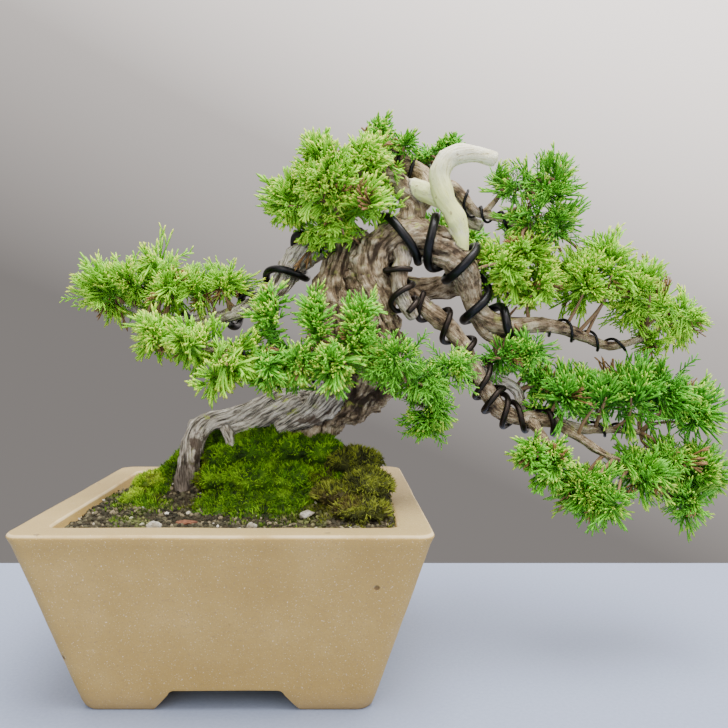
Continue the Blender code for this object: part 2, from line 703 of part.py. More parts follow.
def make_soil(wood_cutters):
    soil = ground_block("soil", 0)
    soil.hide_render = False
    soil.display_type = "TEXTURED"
    HELPERS.objects.unlink(soil)
    PARTS.objects.link(soil)
    soil.data.materials.append(SOIL)
    plug = pot_cavity("soil_plug", GAP, top=PLUG_TOP)
    room_height = NET_THICK * 2 + CLIP_WIRE + 6 * GAP
    net_room = add_object("net_room", cube_mesh("net_room", NET_SIDE + 4 * GAP, room_height))
    net_room.location.z = FLOOR_TOP
    boolean(soil, "INTERSECT", plug)
    boolean(soil, "DIFFERENCE", net_room)
    for cutter in wood_cutters:
        if box_of(cutter)[0][2] < SOIL_LEVEL + MOUND_RISE:
            boolean(soil, "DIFFERENCE", cutter)
    bake(soil)
    largest_body(soil)
    drop_helpers([plug, net_room])
    shade_round(soil, 40)


def cube_mesh(name, side, height):
    """A flat square block, centred on its own origin."""
    bm = bmesh.new()
    bmesh.ops.create_cube(bm, size=1)
    bmesh.ops.scale(bm, verts=bm.verts, vec=(side, side, height * 2))
    return mesh_from(name, bm)


def on_ground(x, y, radii, sink=0.0):
    """An egg on the soil at a place in metres, with its middle sunk by a length."""
    return Vector((x, y, ground_height(x, y) - sink)), radii


def make_moss(wood_cutters):
    """Three patches of moss that follow the soil's surface, and stay inside the pot's walls."""
    k = MM * TREE_SCALE
    ground = ground_block("ground_clear", GAP * 1.5)
    walls = pot_cavity("walls_clear", 2 * GAP, top=PLUG_TOP)
    pile = MOSS_PILE
    wall = INNER_HALF
    patches = {
        "moss_mound": (BRIGHT_MOSS, [
            on_ground(8 * k, -8 * k, (15 * MM, 12 * MM, pile * 1.4)),
            on_ground(24 * k, -9 * k, (14 * MM, 12 * MM, pile * 1.4)),
            on_ground(-8 * k, -4 * k, (13 * MM, 12 * MM, pile * 1.3)),
            on_ground(8 * k, -18 * k, (17 * MM, 11 * MM, pile * 1.4)),
            on_ground(26 * k, -20 * k, (15 * MM, 11 * MM, pile * 1.4)),
            on_ground(40 * k, -10 * k, (12 * MM, 13 * MM, pile * 1.4)),
            on_ground(-12 * k, -12 * k, (12 * MM, 11 * MM, pile * 1.2)),
        ]),
        "moss_left_slope": (BRIGHT_MOSS, [
            on_ground(-37 * k, 12 * k, (12 * MM, 14 * MM, pile * 1.2)),
            on_ground(-46 * k, 3 * k, (12 * MM, 13 * MM, pile)),
            on_ground(-52 * k, -10 * k, (9 * MM, 11 * MM, pile * 0.8)),
            on_ground(-24 * k, 13 * k, (12 * MM, 12 * MM, pile)),
        ]),
        "moss_right_clump": (OLIVE_MOSS, [
            on_ground(wall - 17 * MM, -16 * MM, (15 * MM, 15 * MM, pile * 1.3)),
            on_ground(wall - 11 * MM, -34 * MM, (13 * MM, 15 * MM, pile * 1.4)),
            on_ground(wall - 24 * MM, -38 * MM, (13 * MM, 13 * MM, pile)),
            on_ground(wall - 14 * MM, -52 * MM, (14 * MM, 12 * MM, pile)),
        ]),
    }
    done = []
    for name, (look, lobes) in patches.items():
        done += soft_form(name, lobes, look, [ground] + wood_cutters + done, keep=walls)
    make_stones([ground] + done)
    drop_helpers([ground, walls] + done)


def make_stones(cutters):
    """Bits of pumice and one flake of bark that lie on the soil."""
    k = MM
    drawn_half = 72.5 * MM  # the inner half side for which the places are written
    spots = {
        "pumice_left": (PUMICE, (-32 * k, -60 * k), (4 * k, 3.2 * k, 3 * k)),
        "pumice_middle": (PUMICE, (10 * k, -57 * k), (3 * k, 2.6 * k, 2.4 * k)),
        "pumice_right": (PUMICE, (34 * k, -46 * k), (4.2 * k, 3 * k, 2.6 * k)),
        "pumice_back": (PUMICE, (30 * k, 48 * k), (4 * k, 3.4 * k, 3 * k)),
        "bark_flake": (BARK_FLAKE, (-20 * k, -50 * k), (6 * k, 3 * k, 1.5 * k)),
    }
    share = INNER_HALF / drawn_half
    for name, (look, (x, y), radii) in spots.items():
        lobe = on_ground(x * share, y * share, radii, sink=-radii[2] * 0.4)
        drop_helpers(soft_form(name, [lobe], look, cutters, detail=1))


# ---------------------------------------------------------------- the foliage

# Each pad is a list of eggs: centre and radii in mm from the middle of the rim.
PADS = {
    "foliage_left_tip": [
        ((-68.5, 0, 101.5), (15, 16, 14)), ((-54, -1, 106), (11, 13, 10)), ((-42.5, -2, 114.5), (11, 13, 9)),
        ((-35, -3, 103), (12, 13, 9)), ((-23, -4, 104), (11, 13, 9.5)), ((-9, -4, 104.5), (10, 11, 7.5)),
    ],
    "foliage_left_low": [
        ((-38, -24, 79), (12, 17, 11)), ((-21, -29, 74), (14, 17, 10)), ((-3, -35, 66), (14, 15, 11)),
        ((-9, -38, 60), (8, 10, 9)),
    ],
    "foliage_front_low": [
        ((16, -37, 64), (13, 15, 11)), ((17, -35, 84), (7, 8, 17)), ((30, -38, 66), (13, 15, 12)),
        ((45, -38, 66), (14, 15, 12)), ((38, -37, 84), (7, 8, 16)), ((57, -37, 80), (9, 9, 19)),
    ],
    "foliage_front_right": [
        ((73, -33, 68), (13, 14, 12)), ((88, -32, 60), (13, 13, 12)), ((101, -30, 66), (10, 8, 6)),
        ((91, -31, 46), (9, 9, 14)),
    ],
    "foliage_crown_left": [
        ((44, -8, 152), (28, 30, 27)), ((24, -8, 149), (17, 20, 19)), ((60, -8, 166), (18, 20, 17)),
        ((38, -10, 172), (16, 18, 14)), ((62, -18, 144), (15, 16, 15)), ((44, -12, 132), (17, 17, 12)),
    ],
    "foliage_crown_top": [
        ((69, 4, 184), (9, 13, 10)), ((82, 6, 179), (8, 11, 8)), ((76, 14, 180), (10, 12, 8)),
    ],
    "foliage_crown_back": [((108, 19, 181), (10, 13, 9)), ((97, 26, 178), (12, 12, 8))],
    "foliage_right_upper": [
        ((153, -3, 152), (13, 15, 14)), ((158, -4, 138), (11, 14, 13)), ((147, -2, 141), (12, 13, 12)),
        ((140, 0, 156), (11, 9, 7)), ((130, 1, 160), (6, 6, 5)), ((160, -3, 162), (7, 9, 7)),
    ],
    "foliage_right_inner": [
        ((133, -4, 112), (14, 16, 16)), ((148, -4, 106), (13, 16, 15)), ((124, -3, 117), (10, 11, 13)),
        ((141, -4, 122), (12, 13, 12)),
    ],
    "foliage_right_outer": [
        ((171, -4, 107), (12, 16, 15)), ((183, -4, 112), (13, 16, 18)), ((198, -2, 101), (14, 16, 16)),
        ((212, -1, 94), (12, 14, 13)), ((224, 0, 90), (10, 12, 10)), ((210, 0, 77), (6, 7, 9)),
    ],
    "foliage_under_branch": [((130, -8, 70), (9, 10, 7)), ((143, -8, 72), (11, 12, 8))],
    "foliage_cascade_upper": [
        ((160, -6, 50), (13, 17, 11)), ((176, -4, 48), (14, 18, 13)), ((194, -3, 50), (15, 19, 14)),
        ((212, -2, 50), (15, 17, 15)), ((227, 0, 42), (13, 15, 14)), ((150, -4, 57), (8, 9, 6)),
    ],
    "foliage_cascade_lower": [
        ((228, -8, 13), (13, 15, 15)), ((219, -11, 0), (10, 13, 13)), ((212, -12, 19), (12, 15, 12)),
        ((194, -16, 12), (14, 17, 13)), ((175, -19, 2), (16, 18, 15)), ((165, -22, 7), (10, 14, 13)),
    ],
    "foliage_cascade_inner": [((141, -22, 23), (10, 12, 11)), ((149, -24, 19), (10, 12, 12))],
    "foliage_back": [
        ((109, 56, 140), (13, 17, 9)), ((98, 47, 137), (10, 14, 7)), ((124, 58, 137), (11, 14, 7)),
    ],
}


def make_foliage(cutters):
    """Each pad, cut clear of the wood, the wires and the pads before it."""
    k = MM * TREE_SCALE
    done = []
    for name, lobes in PADS.items():
        eggs = []
        for centre, (wide, deep, high) in lobes:
            eggs.append((tree_point(*centre), (wide * k, deep * k * PAD_DEPTH, high * k)))
        done += soft_form(name, eggs, FOLIAGE, cutters + done)
    drop_helpers(done)


def centre_on_table():
    """Puts every part under one empty that brings the middle of the whole box over the origin."""
    bpy.context.view_layer.update()
    graph = bpy.context.evaluated_depsgraph_get()
    corners = []
    for obj in PARTS.objects:
        shape = obj.evaluated_get(graph)
        corners += [obj.matrix_world @ Vector(corner) for corner in shape.bound_box]
    low = np.array(corners).min(axis=0)
    high = np.array(corners).max(axis=0)
    middle = bpy.data.objects.new("bonsai_middle", None)
    bpy.context.scene.collection.objects.link(middle)
    middle.location = (-(low[0] + high[0]) / 2, -(low[1] + high[1]) / 2, -low[2])
    for obj in PARTS.objects:
        obj.parent = middle


make_pot()
make_net()
make_clip()
make_wood()
wood_clear = limb_envelopes()
wire_clear = make_wires()
make_soil(wood_clear)
make_moss(wood_clear)
make_foliage(wood_clear + wire_clear)
drop_helpers(wood_clear + wire_clear)
centre_on_table()
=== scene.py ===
import json
import math
import random

import bmesh
import bpy
import numpy as np
from mathutils import Matrix, Vector, noise

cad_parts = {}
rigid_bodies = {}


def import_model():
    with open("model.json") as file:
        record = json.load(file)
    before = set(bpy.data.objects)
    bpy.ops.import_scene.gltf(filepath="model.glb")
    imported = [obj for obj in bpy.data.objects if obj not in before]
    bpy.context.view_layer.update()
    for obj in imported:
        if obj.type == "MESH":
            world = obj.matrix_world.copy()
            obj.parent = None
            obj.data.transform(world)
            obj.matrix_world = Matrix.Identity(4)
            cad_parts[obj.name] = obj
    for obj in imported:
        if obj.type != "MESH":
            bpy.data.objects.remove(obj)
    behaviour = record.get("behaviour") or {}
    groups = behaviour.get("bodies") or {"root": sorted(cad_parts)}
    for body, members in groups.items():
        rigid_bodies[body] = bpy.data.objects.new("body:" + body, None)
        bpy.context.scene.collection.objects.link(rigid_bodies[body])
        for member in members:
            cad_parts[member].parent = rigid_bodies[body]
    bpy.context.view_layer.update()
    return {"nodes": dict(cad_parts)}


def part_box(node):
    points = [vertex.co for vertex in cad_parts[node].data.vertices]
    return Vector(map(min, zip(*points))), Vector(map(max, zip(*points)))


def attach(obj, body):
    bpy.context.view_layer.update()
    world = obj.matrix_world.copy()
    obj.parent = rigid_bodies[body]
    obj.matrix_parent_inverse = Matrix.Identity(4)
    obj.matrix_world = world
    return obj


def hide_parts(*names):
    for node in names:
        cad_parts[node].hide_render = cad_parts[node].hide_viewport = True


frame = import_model()

# ------------------------------------------------------------------------------------------
# The pot. A square, tapering pot of unglazed tan stoneware with a flat lip and four corner
# feet. It is press moulded, its edges are wiped round by hand, and it is fired once, so the
# clay keeps fine speckles, a few burnt-out pits and a soft uneven surface.

MM = 0.001
pot_low, pot_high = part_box("pot")
POT_X = (pot_low.x + pot_high.x) / 2
POT_Y = (pot_low.y + pot_high.y) / 2
RIM_Z = pot_high.z
POT_HALF = (pot_high.x - pot_low.x) / 2
BASE_HALF = 63 * MM
LIP = 14.3 * MM
INNER_HALF = POT_HALF - LIP
INNER_BASE_HALF = 54 * MM
FOOT = 9.8 * MM
FLOOR_Z = FOOT + 8 * MM
NOTCH_BASE, NOTCH_TOP = 63 * MM, 50 * MM
CORNER = 7.5 * MM
RIM_ROUND = 1.8 * MM


def spot(x, y, z):
    """A place in millimetres from the middle of the pot's rim."""
    return Vector((POT_X + x * MM, POT_Y + y * MM, RIM_Z + z * MM))


def add_piece(name, mesh, *materials):
    obj = bpy.data.objects.new(name, mesh)
    bpy.context.scene.collection.objects.link(obj)
    for look in materials:
        mesh.materials.append(look)
    return obj


def mesh_of(name, bm, smooth=True):
    bmesh.ops.recalc_face_normals(bm, faces=bm.faces)
    mesh = bpy.data.meshes.new(name)
    bm.to_mesh(mesh)
    bm.free()
    if smooth:
        mesh.shade_smooth()
    return mesh


def applied(obj):
    """The object's modifiers turned into plain mesh."""
    bpy.context.view_layer.update()
    graph = bpy.context.evaluated_depsgraph_get()
    mesh = bpy.data.meshes.new_from_object(obj.evaluated_get(graph), depsgraph=graph)
    obj.modifiers.clear()
    obj.data = mesh
    return obj


def settle(piece, slot, *nodes):
    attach(piece, "root")
    if nodes:
        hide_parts(*nodes)
    return piece


def square_ring(bm, half, corner, z, straight=14, arc=8):
    """One ring of points round a square with rounded corners."""
    ring = []
    inner = half - corner
    for quarter in range(4):
        turn = Matrix.Rotation(quarter * math.pi / 2, 3, "Z")
        for step in range(arc + 1):
            a = step / arc * math.pi / 2
            p = Vector((inner + corner * math.cos(a), inner + corner * math.sin(a), z))
            ring.append(turn @ p)
        for step in range(1, straight):
            p = Vector((inner - 2 * inner * step / straight, half, z))
            ring.append(turn @ p)
    return [bm.verts.new(p) for p in ring]


def skin(bm, rings):
    for lower, upper in zip(rings, rings[1:]):
        for i, vert in enumerate(lower):
            j = (i + 1) % len(lower)
            bm.faces.new((vert, lower[j], upper[j], upper[i]))


def pot_profile():
    """Rows of half width, corner radius and height: up the outside, over the lip, down inside."""
    rows = [(BASE_HALF - 1.2 * MM, CORNER - 1 * MM, 0), (BASE_HALF, CORNER, 1.2 * MM)]
    for i in range(1, 22):
        share = i / 22
        half = BASE_HALF + share * (POT_HALF - 0.4 * MM - BASE_HALF)
        rows.append((half, CORNER, share * (RIM_Z - RIM_ROUND)))
    for i in range(7):
        a = i / 6 * math.pi / 2
        rows.append((POT_HALF - RIM_ROUND * (1 - math.cos(a)), CORNER, RIM_Z - RIM_ROUND * (1 - math.sin(a))))
    rows.append((INNER_HALF + LIP / 2, CORNER * 0.85, RIM_Z - 0.1 * MM))
    for i in range(6):
        a = i / 5 * math.pi / 2
        rows.append((INNER_HALF + 2 * MM * (1 - math.sin(a)), CORNER * 0.7, RIM_Z - 2 * MM * (1 - math.cos(a))))
    for i in range(1, 9):
        share = i / 8
        half = INNER_HALF + share * (INNER_BASE_HALF - INNER_HALF)
        rows.append((half, CORNER * 0.7, RIM_Z - 2 * MM + share * (FLOOR_Z - RIM_Z + 2 * MM)))
    return rows


def make_pot():
    bm = bmesh.new()
    rings = [square_ring(bm, *row) for row in pot_profile()]
    skin(bm, rings)
    bm.faces.new(list(reversed(rings[0])))
    bm.faces.new(rings[-1])
    for vert in bm.verts:
        sway = noise.noise(vert.co * 28) * 0.35 * MM + noise.noise(vert.co * 120) * 0.12 * MM
        if vert.co.z > 2 * MM:
            vert.co += Vector((vert.co.x, vert.co.y, 0)).normalized() * sway
            vert.co.z += noise.noise(vert.co * 30 + Vector((9, 0, 0))) * 0.3 * MM
            vert.co.z = min(vert.co.z, RIM_Z)
    return add_piece("stoneware_pot", mesh_of("stoneware_pot", bm))


def notch_cutter(turn):
    """The gap between two feet, with rounded upper corners, right across under the pot."""
    bm = bmesh.new()
    side = NOTCH_TOP / 2
    outline = [(-NOTCH_BASE / 2 - 6.5 * MM, -FOOT), (-NOTCH_BASE / 2, 0)]
    for cx, sign in ((-side + 3 * MM, 1), (side - 3 * MM, -1)):
        arc = [(cx - sign * 3 * MM * math.cos(a), FOOT - 3 * MM + 3 * MM * math.sin(a)) for a in
               [math.radians(t) for t in (15, 35, 55, 75, 90)]]
        outline += arc if sign == 1 else arc[::-1]
    outline += [(NOTCH_BASE / 2, 0), (NOTCH_BASE / 2 + 6.5 * MM, -FOOT)]
    near = [bm.verts.new((x, -POT_HALF * 1.2, z)) for x, z in outline]
    far = [bm.verts.new((x, POT_HALF * 1.2, z)) for x, z in outline]
    skin(bm, [near, far])
    bm.faces.new(near)
    bm.faces.new(far[::-1])
    bmesh.ops.rotate(bm, verts=bm.verts, matrix=Matrix.Rotation(turn, 3, "Z"))
    return add_piece("notch", mesh_of("notch", bm))


def cut(obj, cutters):
    for cutter in cutters:
        modifier = obj.modifiers.new("cut", "BOOLEAN")
        modifier.operation = "DIFFERENCE"
        modifier.solver = "EXACT"
        modifier.object = cutter
    applied(obj)
    for cutter in cutters:
        bpy.data.objects.remove(cutter, do_unlink=True)


pot = make_pot()
bore_mesh = bmesh.new()
bmesh.ops.create_cone(
    bore_mesh, cap_ends=True, segments=40, radius1=11 * MM, radius2=11 * MM, depth=60 * MM
)
bore = add_piece("drain_bore", mesh_of("drain_bore", bore_mesh))
cut(pot, [notch_cutter(0), notch_cutter(math.pi / 2), bore])
wiped = pot.modifiers.new("wiped_edges", "BEVEL")
wiped.width = 1.1 * MM
wiped.segments = 3
wiped.limit_method = "ANGLE"
wiped.angle_limit = math.radians(38)
applied(pot)
pot.data.transform(Matrix.Translation((POT_X, POT_Y, 0)))
pot.data.shade_smooth()
pot.data.set_sharp_from_angle(angle=math.radians(45))


class Look:
    """A Principled material that is put together one node at a time."""

    def __init__(self, name, roughness=0.8, specular=0.5):
        self.material = bpy.data.materials.new(name)
        self.material.use_nodes = True
        self.tree = self.material.node_tree
        self.shader = self.tree.nodes["Principled BSDF"]
        self.shader.inputs["Roughness"].default_value = roughness
        self.shader.inputs["Specular IOR Level"].default_value = specular
        self.place = self.add("ShaderNodeTexCoord").outputs["Object"]

    def add(self, kind, **settings):
        node = self.tree.nodes.new(kind)
        for key, value in settings.items():
            setattr(node, key, value)
        return node

    def plug(self, socket, value):
        if hasattr(value, "is_output") and value.is_output:
            self.tree.links.new(value, socket)
        else:
            socket.default_value = value

    def attribute(self, name):
        return self.add("ShaderNodeAttribute", attribute_name=name)

    def noise(self, scale, detail=3.0, rough=0.55, place=None, distortion=0.0):
        node = self.add("ShaderNodeTexNoise")
        self.plug(node.inputs["Vector"], place or self.place)
        node.inputs["Scale"].default_value = scale
        node.inputs["Detail"].default_value = detail
        node.inputs["Roughness"].default_value = rough
        node.inputs["Distortion"].default_value = distortion
        return node.outputs["Fac"]

    def ramp(self, value, *stops):
        node = self.add("ShaderNodeValToRGB")
        ramp = node.color_ramp
        while len(ramp.elements) < len(stops):
            ramp.elements.new(0.5)
        for element, (place, colour) in zip(ramp.elements, stops):
            element.position = place
            element.color = colour if len(colour) == 4 else (*colour, 1)
        self.plug(node.inputs["Fac"], value)
        return node.outputs["Color"]

    def step(self, value, low, high):
        """A smooth 0 to 1 between two values."""
        node = self.add("ShaderNodeMapRange", interpolation_type="SMOOTHSTEP")
        self.plug(node.inputs["Value"], value)
        node.inputs["From Min"].default_value = low
        node.inputs["From Max"].default_value = high
        return node.outputs["Result"]

    def mix(self, share, first, second, kind="MIX"):
        node = self.add("ShaderNodeMix", data_type="RGBA", blend_type=kind)
        for socket, value in zip((node.inputs[0], node.inputs[6], node.inputs[7]), (share, first, second)):
            if isinstance(value, tuple) and len(value) == 3:
                value = (*value, 1)
            self.plug(socket, value)
        return node.outputs[2]

    def maths(self, operation, first, second=0.5):
        node = self.add("ShaderNodeMath", operation=operation)
        self.plug(node.inputs[0], first)
        self.plug(node.inputs[1], second)
        return node.outputs[0]

    def colour(self, value):
        self.plug(self.shader.inputs["Base Color"], value)

    def bump(self, height, distance, strength=1.0):
        node = self.add("ShaderNodeBump")
        node.inputs["Distance"].default_value = distance
        node.inputs["Strength"].default_value = strength
        self.plug(node.inputs["Height"], height)
        if self.shader.inputs["Normal"].links:
            self.plug(node.inputs["Normal"], self.shader.inputs["Normal"].links[0].from_socket)
        self.plug(self.shader.inputs["Normal"], node.outputs["Normal"])


def stoneware():
    look = Look("stoneware", roughness=0.62, specular=0.35)
    cloud = look.noise(32, 4)
    base = look.ramp(cloud, (0.3, (0.37, 0.245, 0.068)), (0.5, (0.41, 0.275, 0.08)), (0.72, (0.47, 0.325, 0.11)))
    grain = look.noise(1500, 2, 0.7)
    base = look.mix(look.step(grain, 0.60, 0.68), base, (0.30, 0.20, 0.10))
    base = look.mix(look.step(grain, 0.36, 0.30), base, (0.66, 0.56, 0.40))
    flecks = look.add("ShaderNodeTexVoronoi")
    flecks.inputs["Scale"].default_value = 85
    flecks.inputs["Randomness"].default_value = 1.0
    look.plug(flecks.inputs["Vector"], look.place)
    chosen = look.step(look.maths("FRACT", look.maths("MULTIPLY", flecks.outputs["Color"], 7.3)), 0.86, 0.87)
    pit = look.maths("MULTIPLY", look.step(flecks.outputs["Distance"], 0.13, 0.06), chosen)
    base = look.mix(look.maths("MULTIPLY", pit, 0.8), base, (0.09, 0.05, 0.02))
    height = look.add("ShaderNodeSeparateXYZ")
    look.plug(height.inputs[0], look.place)
    facing = look.add("ShaderNodeSeparateXYZ")
    look.plug(facing.inputs[0], look.add("ShaderNodeNewGeometry").outputs["Normal"])
    # A lighter band along the lip's rounded outer edge, where the normal slants: a painted highlight, partly also
    # rubbed wear.
    edge = look.maths("MULTIPLY", look.step(facing.outputs["Z"], 0.3, 0.5), look.step(facing.outputs["Z"], 0.97, 0.85))
    lip_edge_highlight_and_wear = look.maths("MULTIPLY", edge, look.step(height.outputs["Z"], 0.076, 0.078))
    base = look.mix(look.maths("MULTIPLY", lip_edge_highlight_and_wear, look.step(cloud, 0.2, 0.6)), base, (0.60, 0.48, 0.27))
    # Upward-facing surfaces, mostly the lip's top, are made darker: painted shade against the light from above.
    upward = look.maths("MULTIPLY", look.step(facing.outputs["Z"], 0.9, 0.98), 0.5)
    base = look.mix(upward, base, (0.33, 0.27, 0.14))
    # The lowest 12 mm of the pot is made darker.
    darker_near_foot = look.maths("MULTIPLY", look.step(height.outputs["Z"], 0.012, 0.0), 0.5)
    base = look.mix(darker_near_foot, base, (0.33, 0.23, 0.12))
    look.colour(base)
    look.bump(look.noise(420, 4, 0.6), 0.0005, 0.5)
    look.bump(grain, 0.0002, 0.5)
    look.bump(pit, -0.0008, 0.7)
    return look.material


pot.data.materials.append(stoneware())
settle(pot, "stoneware", "pot")

# ------------------------------------------------------------------------------------------
# The drain net and its clip. A square of black plastic net keeps the grit out of the drain
# hole. A staple of black wire goes through it and bends out under the pot's floor.


def plain_look(name, colour, roughness, metallic=0.0):
    look = Look(name, roughness)
    look.shader.inputs["Base Color"].default_value = (*colour, 1)
    look.shader.inputs["Metallic"].default_value = metallic
    return look.material


def merged_copy(name, node):
    """A copy of a CAD node's mesh with its loose triangles joined up."""
    bm = bmesh.new()
    bm.from_mesh(frame["nodes"][node].data)
    bmesh.ops.remove_doubles(bm, verts=bm.verts, dist=0.002 * MM)
    mesh = bpy.data.meshes.new(name)
    bm.to_mesh(mesh)
    bm.free()
    return mesh


net = add_piece("drain_net_mesh", merged_copy("drain_net_mesh", "drain_net"), plain_look("net_plastic", (0.02, 0.02, 0.02), 0.45))
softened = net.modifiers.new("soft_edges", "BEVEL")
softened.width = 0.25 * MM
softened.segments = 2
applied(net)
settle(net, "net_plastic", "drain_net")

clip = add_piece("net_clip_wire", merged_copy("net_clip_wire", "net_clip"), plain_look("clip_wire", (0.02, 0.02, 0.02), 0.35, 1.0))
clip.data.shade_smooth()
settle(clip, "black_wire", "net_clip")

# ------------------------------------------------------------------------------------------
# The soil. Dark grit of fired clay and pumice, heaped into a mound under the trunk and
# against the right wall, watered flat at the lip. Loose grains lie all over its top.

SOIL_LEVEL = -5  # mm from the rim, at the walls
rng = random.Random(11)


def bell(distance, width):
    return math.exp(-0.5 * (distance / width) ** 2)


def ground_height(x, y):
    """The soil's top in mm from the rim, for a place in mm from the pot's middle."""
    wall = INNER_HALF / MM
    rise = 36 * bell(x - 22, 26) * bell(y - 2, 16)
    rise += 27 * bell(x + 24, 16) * bell(y - 16, 14)
    rise += 16 * bell(x - (wall - 15), 14) * bell(y + 24, 22)
    rise += 3 * bell(x + wall * 0.6, 18) * bell(y + 20, 25)
    return SOIL_LEVEL + rise


def make_soil():
    bm = bmesh.new()
    cells = 90
    half = INNER_HALF / MM - 0.4
    corner = 6
    bmesh.ops.create_grid(bm, x_segments=cells, y_segments=cells, size=half)
    for vert in bm.verts:
        x, y = vert.co.x, vert.co.y
        out = Vector((max(abs(x) - half + corner, 0), max(abs(y) - half + corner, 0)))
        if out.length > corner and min(out) > 0:
            out = out * (corner / out.length)
            x = math.copysign(half - corner + out.x, x)
            y = math.copysign(half - corner + out.y, y)
        z = ground_height(x, y)
        z += noise.noise(Vector((x, y, 0)) * 0.12) * 1.2 + noise.noise(Vector((x, y, 7)) * 0.45) * 0.7
        vert.co = Vector((x, y, z))
    sunk = bmesh.ops.extrude_face_region(bm, geom=list(bm.faces))
    shrink = (INNER_BASE_HALF / MM - 0.4) / half
    for item in sunk["geom"]:
        if isinstance(item, bmesh.types.BMVert):
            item.co = Vector((item.co.x * shrink, item.co.y * shrink, (FLOOR_Z - RIM_Z) / MM + 0.4))
    mesh = mesh_of("soil_bed", bm)
    mesh.transform(Matrix.Translation(spot(0, 0, 0)) @ Matrix.Scale(MM, 4))
    return add_piece("soil_bed", mesh)


def soil_look():
    look = Look("grit_soil", roughness=0.95, specular=0.2)
    fine = look.noise(700, 5, 0.7)
    look.colour(look.ramp(fine, (0.3, (0.012, 0.010, 0.006)), (0.55, (0.05, 0.04, 0.022)), (0.75, (0.13, 0.11, 0.07))))
    look.bump(fine, 0.0015, 1.0)
    return look.material


soil = make_soil()
soil.data.materials.append(soil_look())


def pebble_mesh(name, seed, stretch):
    """One grain of grit: an uneven lump with a few flat sides."""
    bm = bmesh.new()
    bmesh.ops.create_icosphere(bm, subdivisions=1, radius=0.5)
    for vert in bm.verts:
        vert.co *= 1 + 0.3 * noise.noise(vert.co * 2.3 + Vector((seed, 0, 0)))
        vert.co = Vector((vert.co.x * stretch[0], vert.co.y * stretch[1], vert.co.z * stretch[2]))
    return mesh_of(name, bm, smooth=False)


def node_group(name):
    tree = bpy.data.node_groups.new(name, "GeometryNodeTree")
    tree.interface.new_socket("Geometry", in_out="INPUT", socket_type="NodeSocketGeometry")
    tree.interface.new_socket("Geometry", in_out="OUTPUT", socket_type="NodeSocketGeometry")
    return tree


def socket(tree, name, kind, value):
    made = tree.interface.new_socket(name, in_out="INPUT", socket_type="NodeSocket" + kind)
    made.default_value = value
    return made


class Chain:
    """Adds geometry nodes and links them by socket name or number."""

    def __init__(self, tree):
        self.tree = tree
        self.input = tree.nodes.new("NodeGroupInput")
        self.output = tree.nodes.new("NodeGroupOutput")

    def add(self, kind, inputs=None, **settings):
        node = self.tree.nodes.new(kind)
        for key, value in settings.items():
            setattr(node, key, value)
        for key, value in (inputs or {}).items():
            self.put(node.inputs[key], value)
        return node

    def put(self, target, value):
        if hasattr(value, "is_output"):
            self.tree.links.new(value, target)
        else:
            target.default_value = value

    def maths(self, operation, first, second=0.0):
        return self.add("ShaderNodeMath", {0: first, 1: second}, operation=operation).outputs[0]

    def vector(self, operation, first, second=(0, 0, 0)):
        return self.add("ShaderNodeVectorMath", {0: first, 1: second}, operation=operation).outputs[0]

    def random(self, low, high, seed, kind="FLOAT", each=None):
        node = self.add("FunctionNodeRandomValue", data_type=kind)
        pick = {"FLOAT": (2, 3, 1), "FLOAT_VECTOR": (0, 1, 0), "INT": (4, 5, 2)}[kind]
        self.put(node.inputs[pick[0]], low)
        self.put(node.inputs[pick[1]], high)
        self.put(node.inputs["Seed"], seed)
        if each is not None:
            self.put(node.inputs["ID"], each)
        return node.outputs[pick[2]]

    def scaled(self, vector, factor):
        node = self.add("ShaderNodeVectorMath", {0: vector}, operation="SCALE")
        self.put(node.inputs["Scale"], factor)
        return node.outputs[0]

    def store(self, geometry, name, value, domain="INSTANCE", kind="FLOAT"):
        node = self.add("GeometryNodeStoreNamedAttribute", {"Geometry": geometry, "Name": name}, data_type=kind, domain=domain)
        self.put(node.inputs["Value"], value)
        return node.outputs[0]

    def finish(self, geometry, look):
        real = self.add("GeometryNodeRealizeInstances", {"Geometry": geometry})
        dressed = self.add("GeometryNodeSetMaterial", {"Geometry": real.outputs[0], "Material": look})
        self.tree.links.new(dressed.outputs[0], self.output.inputs[0])


def collection_of(name, meshes):
    """Shapes to scatter, kept out of the scene itself."""
    group = bpy.data.collections.new(name)
    for mesh in meshes:
        group.objects.link(bpy.data.objects.new(mesh.name, mesh))
    return group


def drop_collection(group):
    for obj in list(group.objects):
        bpy.data.objects.remove(obj, do_unlink=True)
    bpy.data.collections.remove(group)


